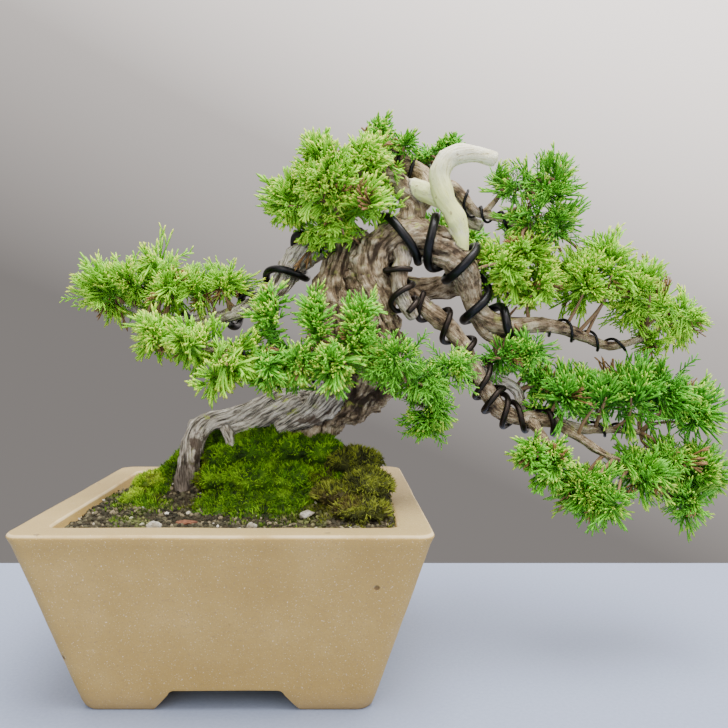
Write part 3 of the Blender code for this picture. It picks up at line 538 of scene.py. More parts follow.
def scatter_tree(name, shapes, look, keep_facing=0.0, share=None):
    """Shapes set on a surface: spaced out, turned at random, leaning off the surface's normal.

    They keep to the places where the attribute named by share is high."""
    tree = node_group(name)
    socket(tree, "Spacing", "Float", 0.002)
    socket(tree, "Density", "Float", 100000.0)
    socket(tree, "Smallest", "Float", 0.001)
    socket(tree, "Largest", "Float", 0.002)
    socket(tree, "Lean", "Float", 0.5)
    socket(tree, "Sink", "Float", 0.0)
    socket(tree, "Seed", "Int", 1)
    chain = Chain(tree)
    inputs = chain.input.outputs
    normal = chain.add("GeometryNodeInputNormal").outputs[0]
    up = chain.add("ShaderNodeSeparateXYZ", {0: normal}).outputs["Z"]
    facing = chain.add("FunctionNodeCompare", {0: up, 1: keep_facing}, operation="GREATER_THAN").outputs[0]
    points = chain.add(
        "GeometryNodeDistributePointsOnFaces",
        {"Mesh": inputs["Geometry"], "Selection": facing, "Distance Min": inputs["Spacing"],
         "Density Max": inputs["Density"], "Seed": inputs["Seed"]},
        distribute_method="POISSON",
    )
    if share:
        chosen = chain.add("GeometryNodeInputNamedAttribute", {"Name": share})
        chain.put(points.inputs["Density Factor"], chosen.outputs[0])
    wander = chain.random((-1, -1, -1), (1, 1, 1), 21, "FLOAT_VECTOR")
    aim = chain.vector("ADD", points.outputs["Normal"], chain.scaled(wander, inputs["Lean"]))
    turned = chain.add("FunctionNodeAlignRotationToVector", {"Vector": aim}, axis="Z")
    spin = chain.add("FunctionNodeAxisAngleToRotation", {"Axis": (0, 0, 1), "Angle": chain.random(0.0, 6.283, 5)})
    spun = chain.add(
        "FunctionNodeRotateRotation", {"Rotation": turned.outputs[0], "Rotate By": spin.outputs[0]}, rotation_space="LOCAL"
    )
    moved = chain.add("GeometryNodeSetPosition", {"Geometry": points.outputs["Points"]})
    chain.put(moved.inputs["Offset"], chain.scaled(points.outputs["Normal"], inputs["Sink"]))
    group = chain.add("GeometryNodeCollectionInfo", {"Collection": shapes, "Separate Children": True, "Reset Children": True})
    placed = chain.add(
        "GeometryNodeInstanceOnPoints",
        {"Points": moved.outputs[0], "Instance": group.outputs[0], "Pick Instance": True, "Rotation": spun.outputs[0],
         "Instance Index": chain.random(0, len(shapes.objects) - 1, 8, "INT")},
    )
    chain.put(placed.inputs["Scale"], chain.random(inputs["Smallest"], inputs["Largest"], 3))
    varied = chain.store(placed.outputs[0], "vary", chain.random(0.0, 1.0, 14))
    chain.finish(varied, look)
    return tree


def grown(name, base_mesh, tree, **values):
    """The mesh that a geometry tree makes from a base mesh, as a plain mesh."""
    host = add_piece(name, base_mesh)
    modifier = host.modifiers.new("grow", "NODES")
    modifier.node_group = tree
    for item in tree.interface.items_tree:
        if item.in_out == "INPUT" and item.name in values:
            modifier[item.identifier] = values[item.name]
    applied(host)
    return host


def grit_look():
    look = Look("grit_grains", roughness=0.9, specular=0.25)
    vary = look.attribute("vary").outputs["Fac"]
    tone = look.ramp(
        vary, (0.0, (0.014, 0.013, 0.008)), (0.4, (0.04, 0.036, 0.02)), (0.66, (0.085, 0.08, 0.045)),
        (0.85, (0.14, 0.12, 0.07)), (0.95, (0.24, 0.20, 0.12)), (0.985, (0.60, 0.58, 0.50)),
    )
    patch = look.step(look.noise(38, 3), 0.53, 0.66)
    green = look.mix(vary, (0.03, 0.05, 0.006), (0.16, 0.20, 0.03))
    tone = look.mix(look.maths("MULTIPLY", patch, 0.6), tone, green)
    look.colour(tone)
    look.bump(look.noise(2200, 3), 0.0003, 0.6)
    return look.material


grains = collection_of(
    "grains",
    [pebble_mesh("grain_a", 1, (1, 0.8, 0.7)), pebble_mesh("grain_b", 4, (0.8, 1.1, 0.6)), pebble_mesh("grain_c", 9, (1.2, 0.7, 0.8))],
)
grain_tree = scatter_tree("grain_scatter", grains, grit_look(), keep_facing=0.15)
grain_piece = grown(
    "soil_grains", soil.data.copy(), grain_tree,
    Spacing=1.6 * MM, Density=500000.0, Smallest=1.2 * MM, Largest=3.1 * MM, Lean=0.9, Sink=0.1 * MM, Seed=4,
)
print("grains", len(grain_piece.data.polygons))
drop_collection(grains)
settle(soil, "grit_soil", "soil")
settle(grain_piece, "grit_soil")

# ------------------------------------------------------------------------------------------
# The top dressing. Three cushions of living moss sit on the soil: bright green on the mound
# and on the slope left of the root, olive and lumpy against the right wall. A few pale lumps
# of pumice and one flake of fallen bark lie between them.


def blade_mesh(name, seed, blades, spread):
    """A pinch of moss: short pointed leaves from one spot."""
    pick = random.Random(seed)
    bm = bmesh.new()
    tip_layer = bm.verts.layers.float.new("tip")
    for _ in range(blades):
        turn, lean = pick.uniform(0, math.tau), math.radians(pick.uniform(0, spread))
        way = Vector((math.sin(lean) * math.cos(turn), math.sin(lean) * math.sin(turn), math.cos(lean)))
        side = way.orthogonal().normalized()
        foot = Vector((pick.uniform(-0.5, 0.5), pick.uniform(-0.5, 0.5), -0.3))
        corners = [foot + Matrix.Rotation(i * math.tau / 3, 3, way) @ side * 0.2 for i in range(3)]
        corners = [bm.verts.new(p) for p in corners]
        top = bm.verts.new(foot + way * pick.uniform(0.9, 1.9))
        top[tip_layer] = 1
        for i in range(3):
            bm.faces.new((corners[i], corners[(i + 1) % 3], top))
        bm.faces.new(corners[::-1])
    return mesh_of(name, bm, smooth=False)


def moss_look(name, dark, middle, light, brown):
    look = Look(name, roughness=0.85, specular=0.25)
    clumps = look.noise(150, 3)
    patches = look.noise(42, 2)
    tip = look.attribute("tip").outputs["Fac"]
    base = look.mix(look.step(clumps, 0.35, 0.62), dark, middle)
    base = look.mix(look.maths("MULTIPLY", look.step(look.noise(90, 2), 0.52, 0.66), 0.8), base, light)
    base = look.mix(look.maths("MULTIPLY", look.step(patches, 0.55, 0.66), 0.8), base, brown)
    base = look.mix(look.step(look.attribute("vary").outputs["Fac"], 0.4, 1.0), base, light)
    # The leaves are painted near-black at their feet and keep their colour at their tips: painted shade down among the
    # leaves.
    shade = look.mix(0.75, base, (0.004, 0.006, 0.001))
    look.colour(look.mix(tip, shade, base))
    return look.material


pinches = collection_of("pinches", [blade_mesh("pinch_a", 1, 6, 55), blade_mesh("pinch_b", 2, 5, 40)])
# For each cushion: its dark, middle, light and brown leaves, how long they are, and its slot.
MOSSES = {
    "moss_mound": ((0.026, 0.085, 0.002), (0.115, 0.34, 0.004), (0.36, 0.74, 0.008), (0.15, 0.16, 0.012), 1.3, "bright_moss"),
    "moss_left_slope": ((0.12, 0.28, 0.004), (0.42, 0.76, 0.01), (0.70, 0.95, 0.05), (0.30, 0.36, 0.03), 1.2, "bright_moss"),
    "moss_right_clump": ((0.018, 0.020, 0.003), (0.085, 0.10, 0.008), (0.30, 0.36, 0.03), (0.11, 0.075, 0.018), 1.5, "olive_moss"),
}
for moss_name, (dark, middle, light, brown, length, slot) in MOSSES.items():
    look = moss_look(moss_name + "_leaves", dark, middle, light, brown)
    cushion = add_piece(moss_name + "_bed", merged_copy(moss_name + "_bed", moss_name), look)
    lumps = cushion.modifiers.new("finer", "SUBSURF")
    lumps.subdivision_type = "SIMPLE"
    lumps.levels = lumps.render_levels = 2
    applied(cushion)
    for vert, normal in zip(cushion.data.vertices, [v.normal.copy() for v in cushion.data.vertices]):
        height = 1.3 * noise.noise(vert.co * 160) + 0.8 * noise.noise(vert.co * 420)
        vert.co += normal * (height - 0.6) * MM
    cushion.data.shade_smooth()
    tree = scatter_tree(moss_name + "_growth", pinches, look, keep_facing=-0.3)
    leaves = grown(
        moss_name + "_leaves", cushion.data.copy(), tree,
        Spacing=1.1 * MM, Density=1100000.0, Smallest=0.9 * length * MM, Largest=1.7 * length * MM, Lean=0.6, Seed=7,
    )
    print(moss_name, len(leaves.data.polygons))
    settle(cushion, slot, moss_name)
    settle(leaves, slot)


def skirt_rise(x, y):
    """How high in mm the mound's moss runs on over the soil, in front of it and under the root."""
    rise = 9 * bell(x - 14, 23) * bell(y + 20, 11) + 11 * bell(x + 3, 15) * bell(y + 1, 8)
    rise += 5 * bell(x + 43, 11) * bell(y + 4, 16) - 8 * bell(x + 28, 7) * bell(y + 10, 8)
    lumpy = 1 + 0.5 * noise.noise(Vector((x, y, 9)) * 0.16)
    return max(0, rise * lumpy - 1)


skirt_ground = soil.data.copy()
skirt_ground.materials.clear()
finer_soil = bmesh.new()
finer_soil.from_mesh(skirt_ground)
rise_of = finer_soil.verts.layers.float.new("moss")
for vert in finer_soil.verts:
    rise = skirt_rise((vert.co.x - POT_X) / MM, (vert.co.y - POT_Y) / MM) if vert.co.z > 0.06 else 0
    vert[rise_of] = min(1, rise / 1.5)
    vert.co.z += (rise - 0.6) * MM
finer_soil.to_mesh(skirt_ground)
finer_soil.free()
skirt_colours = ((0.018, 0.05, 0.002), (0.10, 0.28, 0.003), (0.30, 0.62, 0.008), (0.12, 0.11, 0.012))
skirt_look = moss_look("moss_skirt_leaves", *skirt_colours)
skirt = add_piece("moss_skirt_bed", skirt_ground, skirt_look)
settle(skirt, "bright_moss")
skirt_leaves = grown(
    "moss_skirt_leaves", skirt_ground.copy(), scatter_tree("skirt_growth", pinches, skirt_look, 0.0, "moss"),
    Spacing=1.0 * MM, Density=1300000.0, Smallest=1.2 * MM, Largest=2.4 * MM, Lean=0.6, Seed=17,
)
settle(skirt_leaves, "bright_moss")
print("skirt", len(skirt_leaves.data.polygons))


def moss_cover(x, y):
    """How thickly thin moss creeps over the soil at a place in mm from the pot's middle."""
    cover = 0.6 * bell(x - 18, 26) * bell(y + 32, 12) + 0.9 * bell(x + 50, 13) * bell(y, 30)
    cover += 0.8 * bell(x - 50, 20) * bell(y + 46, 18) + 0.5 * bell(x + 10, 50) * bell(y - 45, 30)
    cover += 0.55 * noise.noise(Vector((x, y, 3)) * 0.09) + 0.3 * noise.noise(Vector((x, y, 3)) * 0.3)
    return min(1, max(0, (cover - 0.36) / 0.45))


creeping_ground = soil.data.copy()
creeping_ground.materials.clear()
cover = [moss_cover((v.co.x - POT_X) / MM, (v.co.y - POT_Y) / MM) for v in creeping_ground.vertices]
creeping_ground.attributes.new("moss", "FLOAT", "POINT").data.foreach_set("value", cover)


def creeping_look():
    look = Look("creeping_moss", roughness=0.9, specular=0.2)
    across = look.add("ShaderNodeSeparateXYZ")
    look.plug(across.inputs[0], look.place)
    vary = look.attribute("vary").outputs["Fac"]
    patch = look.noise(110, 3)
    green = look.mix(look.step(patch, 0.42, 0.62), (0.03, 0.05, 0.004), (0.15, 0.30, 0.008))
    olive = look.mix(look.step(patch, 0.38, 0.6), (0.04, 0.035, 0.006), (0.24, 0.27, 0.02))
    tone = look.mix(look.step(across.outputs["X"], POT_X + 22 * MM, POT_X + 44 * MM), green, olive)
    tone = look.mix(look.step(vary, 0.75, 1.0), tone, (0.38, 0.42, 0.10))
    # The leaves are painted near-black at their feet and keep their tone at their tips: painted shade down among the
    # leaves.
    look.colour(look.mix(look.attribute("tip").outputs["Fac"], (0.01, 0.014, 0.002), tone))
    return look.material


creeping = grown(
    "creeping_moss", creeping_ground, scatter_tree("creeping_growth", pinches, creeping_look(), 0.2, "moss"),
    Spacing=1.0 * MM, Density=1300000.0, Smallest=0.9 * MM, Largest=2.2 * MM, Lean=0.6, Seed=12,
)
print("creeping", len(creeping.data.polygons))
settle(creeping, "olive_moss")
drop_collection(pinches)


def roughened(name, node, amount, scale, levels=2):
    """A stone or flake: the CAD solid made finer and broken up."""
    piece = add_piece(name, merged_copy(name, node))
    finer = piece.modifiers.new("finer", "SUBSURF")
    finer.subdivision_type = "SIMPLE"
    finer.levels = finer.render_levels = levels
    applied(piece)
    normals = [v.normal.copy() for v in piece.data.vertices]
    for vert, normal in zip(piece.data.vertices, normals):
        vert.co += normal * noise.noise(vert.co * scale) * amount
    piece.data.shade_smooth()
    return piece


def pumice_look():
    look = Look("pumice", roughness=0.95, specular=0.2)
    holes = look.add("ShaderNodeTexVoronoi")
    holes.inputs["Scale"].default_value = 900
    look.plug(holes.inputs["Vector"], look.place)
    pore = look.step(holes.outputs["Distance"], 0.32, 0.12)
    tone = look.ramp(look.noise(260, 3), (0.3, (0.16, 0.13, 0.08)), (0.7, (0.44, 0.43, 0.37)))
    look.colour(look.mix(look.maths("MULTIPLY", pore, 0.6), tone, (0.16, 0.12, 0.07)))
    look.bump(pore, -0.0006, 0.8)
    return look.material


pumice = pumice_look()
for stone in ("pumice_left", "pumice_middle", "pumice_right", "pumice_back"):
    piece = roughened(stone + "_stone", stone, 0.5 * MM, 500)
    piece.data.materials.append(pumice)
    settle(piece, "pumice", stone)

flake = roughened("bark_flake_shell", "bark_flake", 0.25 * MM, 700, 3)
flake_look = Look("bark_flake", roughness=0.8, specular=0.3)
flake_grain = flake_look.noise(420, 4)
flake_look.colour(flake_look.ramp(flake_grain, (0.3, (0.06, 0.02, 0.01)), (0.7, (0.24, 0.10, 0.05))))
flake_look.bump(flake_grain, 0.0004, 0.7)
flake.data.materials.append(flake_look.material)
settle(flake, "bark_flake", "bark_flake")

# ------------------------------------------------------------------------------------------
# The tree. One living juniper: a twisted trunk that rises from an arched root, its limbs bent
# by hand, and one dead limb that was stripped, carved to a hook and bleached. The bark is
# thin and fibrous, and flakes off along the limb.

LIMBS = {
    "trunk": [
        (20, 5, -16, 14), (20.5, 5, 0, 16), (24, 5, 16, 15), (31, 5, 31, 13), (44, 4, 43, 12.5),
        (56, 3, 51, 14), (64, 4, 61, 17), (63, 4, 74, 19.5), (58, 5, 89, 20), (57, 4, 103, 16),
    ],
    "root_leg": [
        (-29.5, -9, -18, 6), (-29, -8, -2, 6.2), (-27, -6, 18, 6), (-24, -4, 30.5, 5.8), (-16.5, -2, 37, 5.2),
        (-5, 0, 39, 5), (7, 0, 43.5, 5), (18, 2, 48.5, 5.5), (34, 5, 49, 7.5),
    ],
    "root_strand": [(-9, -1, 33, 3), (3, -3, 35.5, 4), (16, -4, 41.5, 4.5), (29, -3, 46.5, 5.5)],
    "root_ridge": [(18, -5, 34, 4.5), (31, -8, 40, 6), (42, -6, 47, 7.5), (52, -2, 54, 8)],
    "root_spur": [(-9, -2, 34, 3.5), (-6.5, -5, 27, 2.6), (-4, -6, 19, 1)],
    "right_limb": [
        (67, 0, 76, 14), (67, -2, 96, 11), (63, -3, 111, 10), (65.5, -2, 121.5, 10), (72, -1, 128, 9.5),
        (81, -2, 131.5, 9), (92, -5, 130, 9), (103, -8, 123.5, 8.5), (110.5, -9, 115, 7.5),
        (114, -8, 106, 6), (116, -5, 97.5, 5.2), (123, -5, 90, 5), (133.5, -7, 85.5, 4.6),
        (147, -8, 86, 4), (160, -6, 84.5, 3.2), (173.5, -4, 79.5, 2.6), (188, -2, 75.5, 2.1),
        (205.5, 0, 79.5, 1.5),
    ],
    "left_column": [
        (50, 2, 66, 15), (45, 0, 84, 12.5), (43, -1, 100, 10.5), (46.5, 0, 111.5, 9), (52.5, 3, 122.5, 8.5),
        (60, 5, 129, 8),
    ],
    "left_limb": [
        (62, 6, 128, 8), (54, 6, 130, 7.5), (44, 7, 130, 7.2), (32, 6, 124.5, 7.4), (23.5, 4, 116, 6.5),
        (18, 2, 107.5, 5.5), (11, 0, 100.5, 4.6), (-0.5, -2, 94, 4), (-16, -3, 89, 3.2),
        (-32.5, -3, 88, 2.6), (-49, -2, 91.5, 2), (-64, 0, 97.5, 1.4),
    ],
    "crown_limb": [
        (80, -1, 127, 7.5), (86, 1, 141, 7), (86, 2, 149.5, 6.2), (81, 0, 156.5, 5.5), (73.5, -4, 162, 4.8),
        (64, -10, 162.5, 4), (54, -15, 156, 3), (44, -18, 149, 2),
    ],
    "apex_limb": [
        (86.5, 3, 146, 5.5), (93, 4, 153.5, 5.5), (93, 6, 163, 4.8), (84.5, 7, 169.5, 4.4),
        (75, 6, 174, 4), (67.5, 4, 178, 3), (63.5, 2, 183, 1.8),
    ],
    "deadwood": [
        (110.5, -9, 115, 3.5), (109, -13, 126.5, 4), (106.5, -15, 136.5, 4.9), (101, -16, 147, 5.2),
        (98, -16, 157, 5.2), (100, -16, 165, 5.4), (106.5, -17, 169.5, 5), (115, -18, 169, 4),
        (124.5, -19, 166, 3.4),
    ],
    "deadwood_fork": [(86, 0, 158, 4.4), (94, -8, 151.5, 4.5), (101, -14, 146, 4)],
    "upper_right": [
        (91, 5, 157, 3.4), (101, 8, 159.5, 3), (108.5, 9, 159, 2.8), (115, 8, 152, 2.4), (120.5, 6, 145, 2.2),
        (127, 4, 143, 2.1), (134, 2, 140.5, 1.9), (142.5, 0, 137, 1.6), (151, -2, 137, 1.2),
    ],
    "upper_twig": [
        (123, 6, 143.5, 1.8), (129, 4, 150, 1.5), (134, 2, 156, 1.3), (141.5, 0, 157, 1.2), (153, -3, 161, 1),
    ],
    "side_stub": [(106, 9, 159.5, 2.6), (112, 12, 153, 3.2), (118, 13, 142, 3.2), (124, 11, 138.5, 2.8)],
    "crown_twig": [(92.5, 6, 161, 3), (99, 12, 168, 2.2), (107, 17, 178, 1.4)],
    "under_limb": [(63, 9, 106, 9), (73, 15, 107, 7.5), (87, 18, 106, 6.4), (101, 15, 106, 6), (112, 3, 107, 5)],
    "cut_limb": [
        (79, -3, 129, 4.4), (80, -9, 119.5, 4.2), (78.5, -12, 111, 4.3), (79, -13, 102, 4.1),
        (82, -13, 95, 3.6), (85.5, -12, 89.5, 2.5),
    ],
    "cascade": [
        (70, 0, 105, 6), (82.5, -1, 102.5, 4.4), (90, -2, 97.5, 4.3), (97, -4, 91, 4.4), (104.5, -5, 84.5, 4.5),
        (110, -6, 77, 4.3), (113.5, -7, 70, 4), (118, -8, 61.5, 4), (123.5, -8, 51.5, 4.2),
        (129.5, -8, 43.5, 4.4), (137.5, -8, 39.5, 4), (148.5, -8, 38.5, 3.5), (160, -6, 36, 3),
        (172, -4, 33, 2.5), (184, -2, 33, 2.1), (203, 0, 31, 1.5),
    ],
    "cascade_low": [(144, -9, 38.5, 3), (150.5, -18, 27, 2), (147.5, -24, 19, 1.4)],
    "cascade_front": [(158, -7, 36, 2.8), (169, -12, 29, 2.2), (177.5, -14, 23, 1.9), (193, -18, 15.5, 1.2)],
    "cascade_fork": [
        (113, -7, 70, 3.8), (119, -5, 64.5, 3.2), (129, -3, 58.5, 2.8), (139, -3, 52.5, 2.8), (141, -7, 41, 2.8),
    ],
    "under_fork": [(115.5, -5, 97, 4), (123, -3, 83, 3.6), (135, -5, 77.5, 3.2), (145, -8, 75.5, 2.2)],
    "low_limb": [
        (57, -3, 61, 6), (46.5, -11, 62, 4.4), (38, -20, 62.5, 3.4), (25, -30, 64, 2.8), (9, -34, 68.5, 2.2),
        (-10, -32, 73.5, 1.7), (-27.5, -28, 77, 1.2),
    ],
    "low_twig": [(39, -19, 62.5, 2.4), (45, -27, 71, 1.7), (49, -32, 80, 1.2)],
    "front_twig": [(63, -8, 63, 5), (69, -14, 63.5, 3), (76, -24, 62.5, 2), (85, -31, 59, 1.2)],
    "back_limb": [(82, 6, 127, 6.5), (90.5, 26, 131, 4), (101, 43, 136.5, 3), (114.5, 58, 142, 1.5)],
}
# Share of silvery weathering and of bare, bleached wood on each limb; the rest is brown bark.
WEATHERING = {
    "root_leg": (1.0, 0.1), "root_strand": (0.9, 0.0), "root_ridge": (0.95, 0.0), "root_spur": (0.7, 0.0),
    "left_limb": (0.75, 0.1), "deadwood": (1.0, 1.0), "deadwood_fork": (0.9, 0.75), "side_stub": (0.8, 0.4),
    "crown_limb": (0.35, 0.1), "apex_limb": (0.15, 0.0), "cut_limb": (0.55, 0.15), "cascade_fork": (0.75, 0.35),
    "right_limb": (0.3, 0.0), "cascade": (0.4, 0.05), "upper_right": (0.5, 0.1),
}
WOOD_STEP = 2.5
WOOD_SIDES = 20


def smooth_route(rows, step):
    """Rows of x, y, z and radius on a Catmull-Rom curve through the given rows."""
    rows = np.array([2 * np.array(rows[0]) - rows[1], *rows, 2 * np.array(rows[-1]) - rows[-2]], float)
    made = []
    for a, b, c, d in zip(rows, rows[1:], rows[2:], rows[3:]):
        count = max(1, round(float(np.linalg.norm((c - b)[:3])) / step))
        for t in np.arange(count) / count:
            made.append(0.5 * (2 * b + (c - a) * t + (2 * a - 5 * b + 4 * c - d) * t**2 + (3 * b - a - 3 * c + d) * t**3))
    made.append(rows[-2])
    return np.array(made)


def route_frames(route):
    """For each row: the way along, and two sides that turn with the route without twisting."""
    along = np.gradient(route[:, :3], axis=0)
    along /= np.linalg.norm(along, axis=1)[:, None]
    side = np.cross(along[0], (0.3, 1, 0.2))
    sides = []
    for way in along:
        side = side - way * side.dot(way)
        side /= np.linalg.norm(side)
        sides.append(side)
    sides = np.array(sides)
    return along, sides, np.cross(along, sides)


def add_tube(bm, route, sides):
    """A closed tube round the route, with one point at each end."""
    along, first, second = route_frames(route)
    rings = []
    for row, a, b in zip(route, first, second):
        turns = np.arange(sides) * math.tau / sides
        ring = row[:3] + row[3] * (np.cos(turns)[:, None] * a + np.sin(turns)[:, None] * b)
        rings.append([bm.verts.new(p) for p in ring])
    for lower, upper in zip(rings, rings[1:]):
        for i in range(sides):
            j = (i + 1) % sides
            bm.faces.new((lower[i], lower[j], upper[j], upper[i]))
    for ring, row, way, sign in ((rings[0], route[0], along[0], -1), (rings[-1], route[-1], along[-1], 1)):
        end = bm.verts.new(row[:3] + sign * way * row[3] * 0.35)
        for i in range(sides):
            pair = (ring[i], ring[(i + 1) % sides])
            bm.faces.new((*(pair if sign == 1 else pair[::-1]), end))


ROUTES = {limb: smooth_route(rows, WOOD_STEP) for limb, rows in LIMBS.items()}


def samples_of(routes):
    """Every row of every limb with its frame, its distance along and its weathering."""
    rows = []
    for number, (limb, route) in enumerate(routes.items()):
        along, first, second = route_frames(route)
        steps = np.linalg.norm(np.diff(route[:, :3], axis=0), axis=1)
        travel = np.concatenate([[0], np.cumsum(steps)])[:, None]
        pale, bare = WEATHERING.get(limb, (0.2, 0.0))
        extra = np.tile([number * 37.0, pale, bare], (len(route), 1))
        rows.append(np.hstack([route, along, first, second, travel, extra]))
    return np.vstack(rows)


def wood_mesh():
    bm = bmesh.new()
    for limb, route in ROUTES.items():
        add_tube(bm, route, WOOD_SIDES)
    mesh = mesh_of("juniper_wood", bm)
    piece = add_piece("juniper_wood", mesh)
    fused = piece.modifiers.new("one_piece", "REMESH")
    fused.mode = "VOXEL"
    fused.voxel_size = 0.92
    applied(piece)
    return piece


def smoothed(values, edges, rounds):
    """Values of neighbouring points blended into each other."""
    count = np.bincount(edges.ravel(), minlength=len(values))[:, None]
    for _ in range(rounds):
        total = np.zeros_like(values)
        np.add.at(total, edges[:, 0], values[edges[:, 1]])
        np.add.at(total, edges[:, 1], values[edges[:, 0]])
        values = (values + total / count) / 2
    return values


wood = wood_mesh()
mesh = wood.data
places = np.empty(len(mesh.vertices) * 3, np.float32)
mesh.vertices.foreach_get("co", places)
places = places.reshape(-1, 3).astype(float)
normals = np.empty(len(mesh.vertices) * 3, np.float32)
mesh.vertices.foreach_get("normal", normals)
normals = normals.reshape(-1, 3).astype(float)
edges = np.empty(len(mesh.edges) * 2, np.int32)
mesh.edges.foreach_get("vertices", edges)
edges = edges.reshape(-1, 2)
samples = samples_of(ROUTES)
nearest = np.empty(len(places), int)
for start in range(0, len(places), 4000):
    part = places[start : start + 4000]
    gaps = np.linalg.norm(part[:, None] - samples[None, :, :3], axis=2) - samples[None, :, 3]
    nearest[start : start + 4000] = gaps.argmin(axis=1)
own = samples[nearest]
offset = places - own[:, :3]
across_1 = (offset * own[:, 7:10]).sum(axis=1)
across_2 = (offset * own[:, 10:13]).sum(axis=1)
travel = own[:, 13] + (offset * own[:, 4:7]).sum(axis=1)
twist = travel * 0.03
grain = np.stack(
    [
        across_1 * np.cos(twist) - across_2 * np.sin(twist),
        across_1 * np.sin(twist) + across_2 * np.cos(twist),
        travel * 0.13 + own[:, 14],
    ],
    axis=1,
)
radius = smoothed(own[:, 3:4], edges, 4)[:, 0]
pale_bare = smoothed(own[:, 15:17], edges, 8)


def noise_of(points, scale, shift=0.0):
    move = Vector((shift, shift, shift))
    return np.array([noise.noise(Vector(p) * scale + move) for p in points])


bare_wood = 1 + 0.8 * pale_bare[:, 1]
lumps = noise_of(places, 0.11) * np.minimum(0.19 * radius, 2.4) * bare_wood
burrs = (noise_of(places, 0.3, 11.0) * 1.7 + noise_of(places, 0.6, 4.0) * 0.9) * np.clip((radius - 5) / 6, 0, 1)
strands = noise_of(grain, 0.45) * np.minimum(0.06 * radius + 0.25, 0.8)
fibres = noise_of(grain, 1.3, 5.0) * 0.28
knots = np.clip(noise_of(places, 0.17, 3.0) - 0.25, 0, 1) * np.minimum(0.4 * radius, 5)
girth = np.maximum(radius, 1)[:, None]
folds = noise_of(np.hstack([grain[:, :2] / girth * 1.5, grain[:, 2:] * 0.25]), 1.0, 8.0)
furrow = np.clip(1 - np.abs(folds) / 0.16, 0, 1) * np.clip((radius - 4) / 8, 0, 1)
rough = 1 - 0.35 * pale_bare[:, 1]
height = (lumps + burrs + strands + fibres + knots) * rough - furrow * np.minimum(0.16 * radius, 2.6)
places += normals * height[:, None]
mesh.vertices.foreach_set("co", ((places * MM) + np.array(spot(0, 0, 0))).ravel())
# Low depth marks the furrows and the gaps between strands; the bark look paints shade there.
depth = np.clip(0.5 + (strands + fibres) / 1.2 - furrow * 0.6, 0, 1)
for name, values in (("pale", pale_bare[:, 0]), ("bare", pale_bare[:, 1]), ("depth", depth)):
    mesh.attributes.new(name, "FLOAT", "POINT").data.foreach_set("value", values)
mesh.attributes.new("grain", "FLOAT_VECTOR", "POINT").data.foreach_set("vector", grain.ravel())
mesh.update()
mesh.shade_smooth()


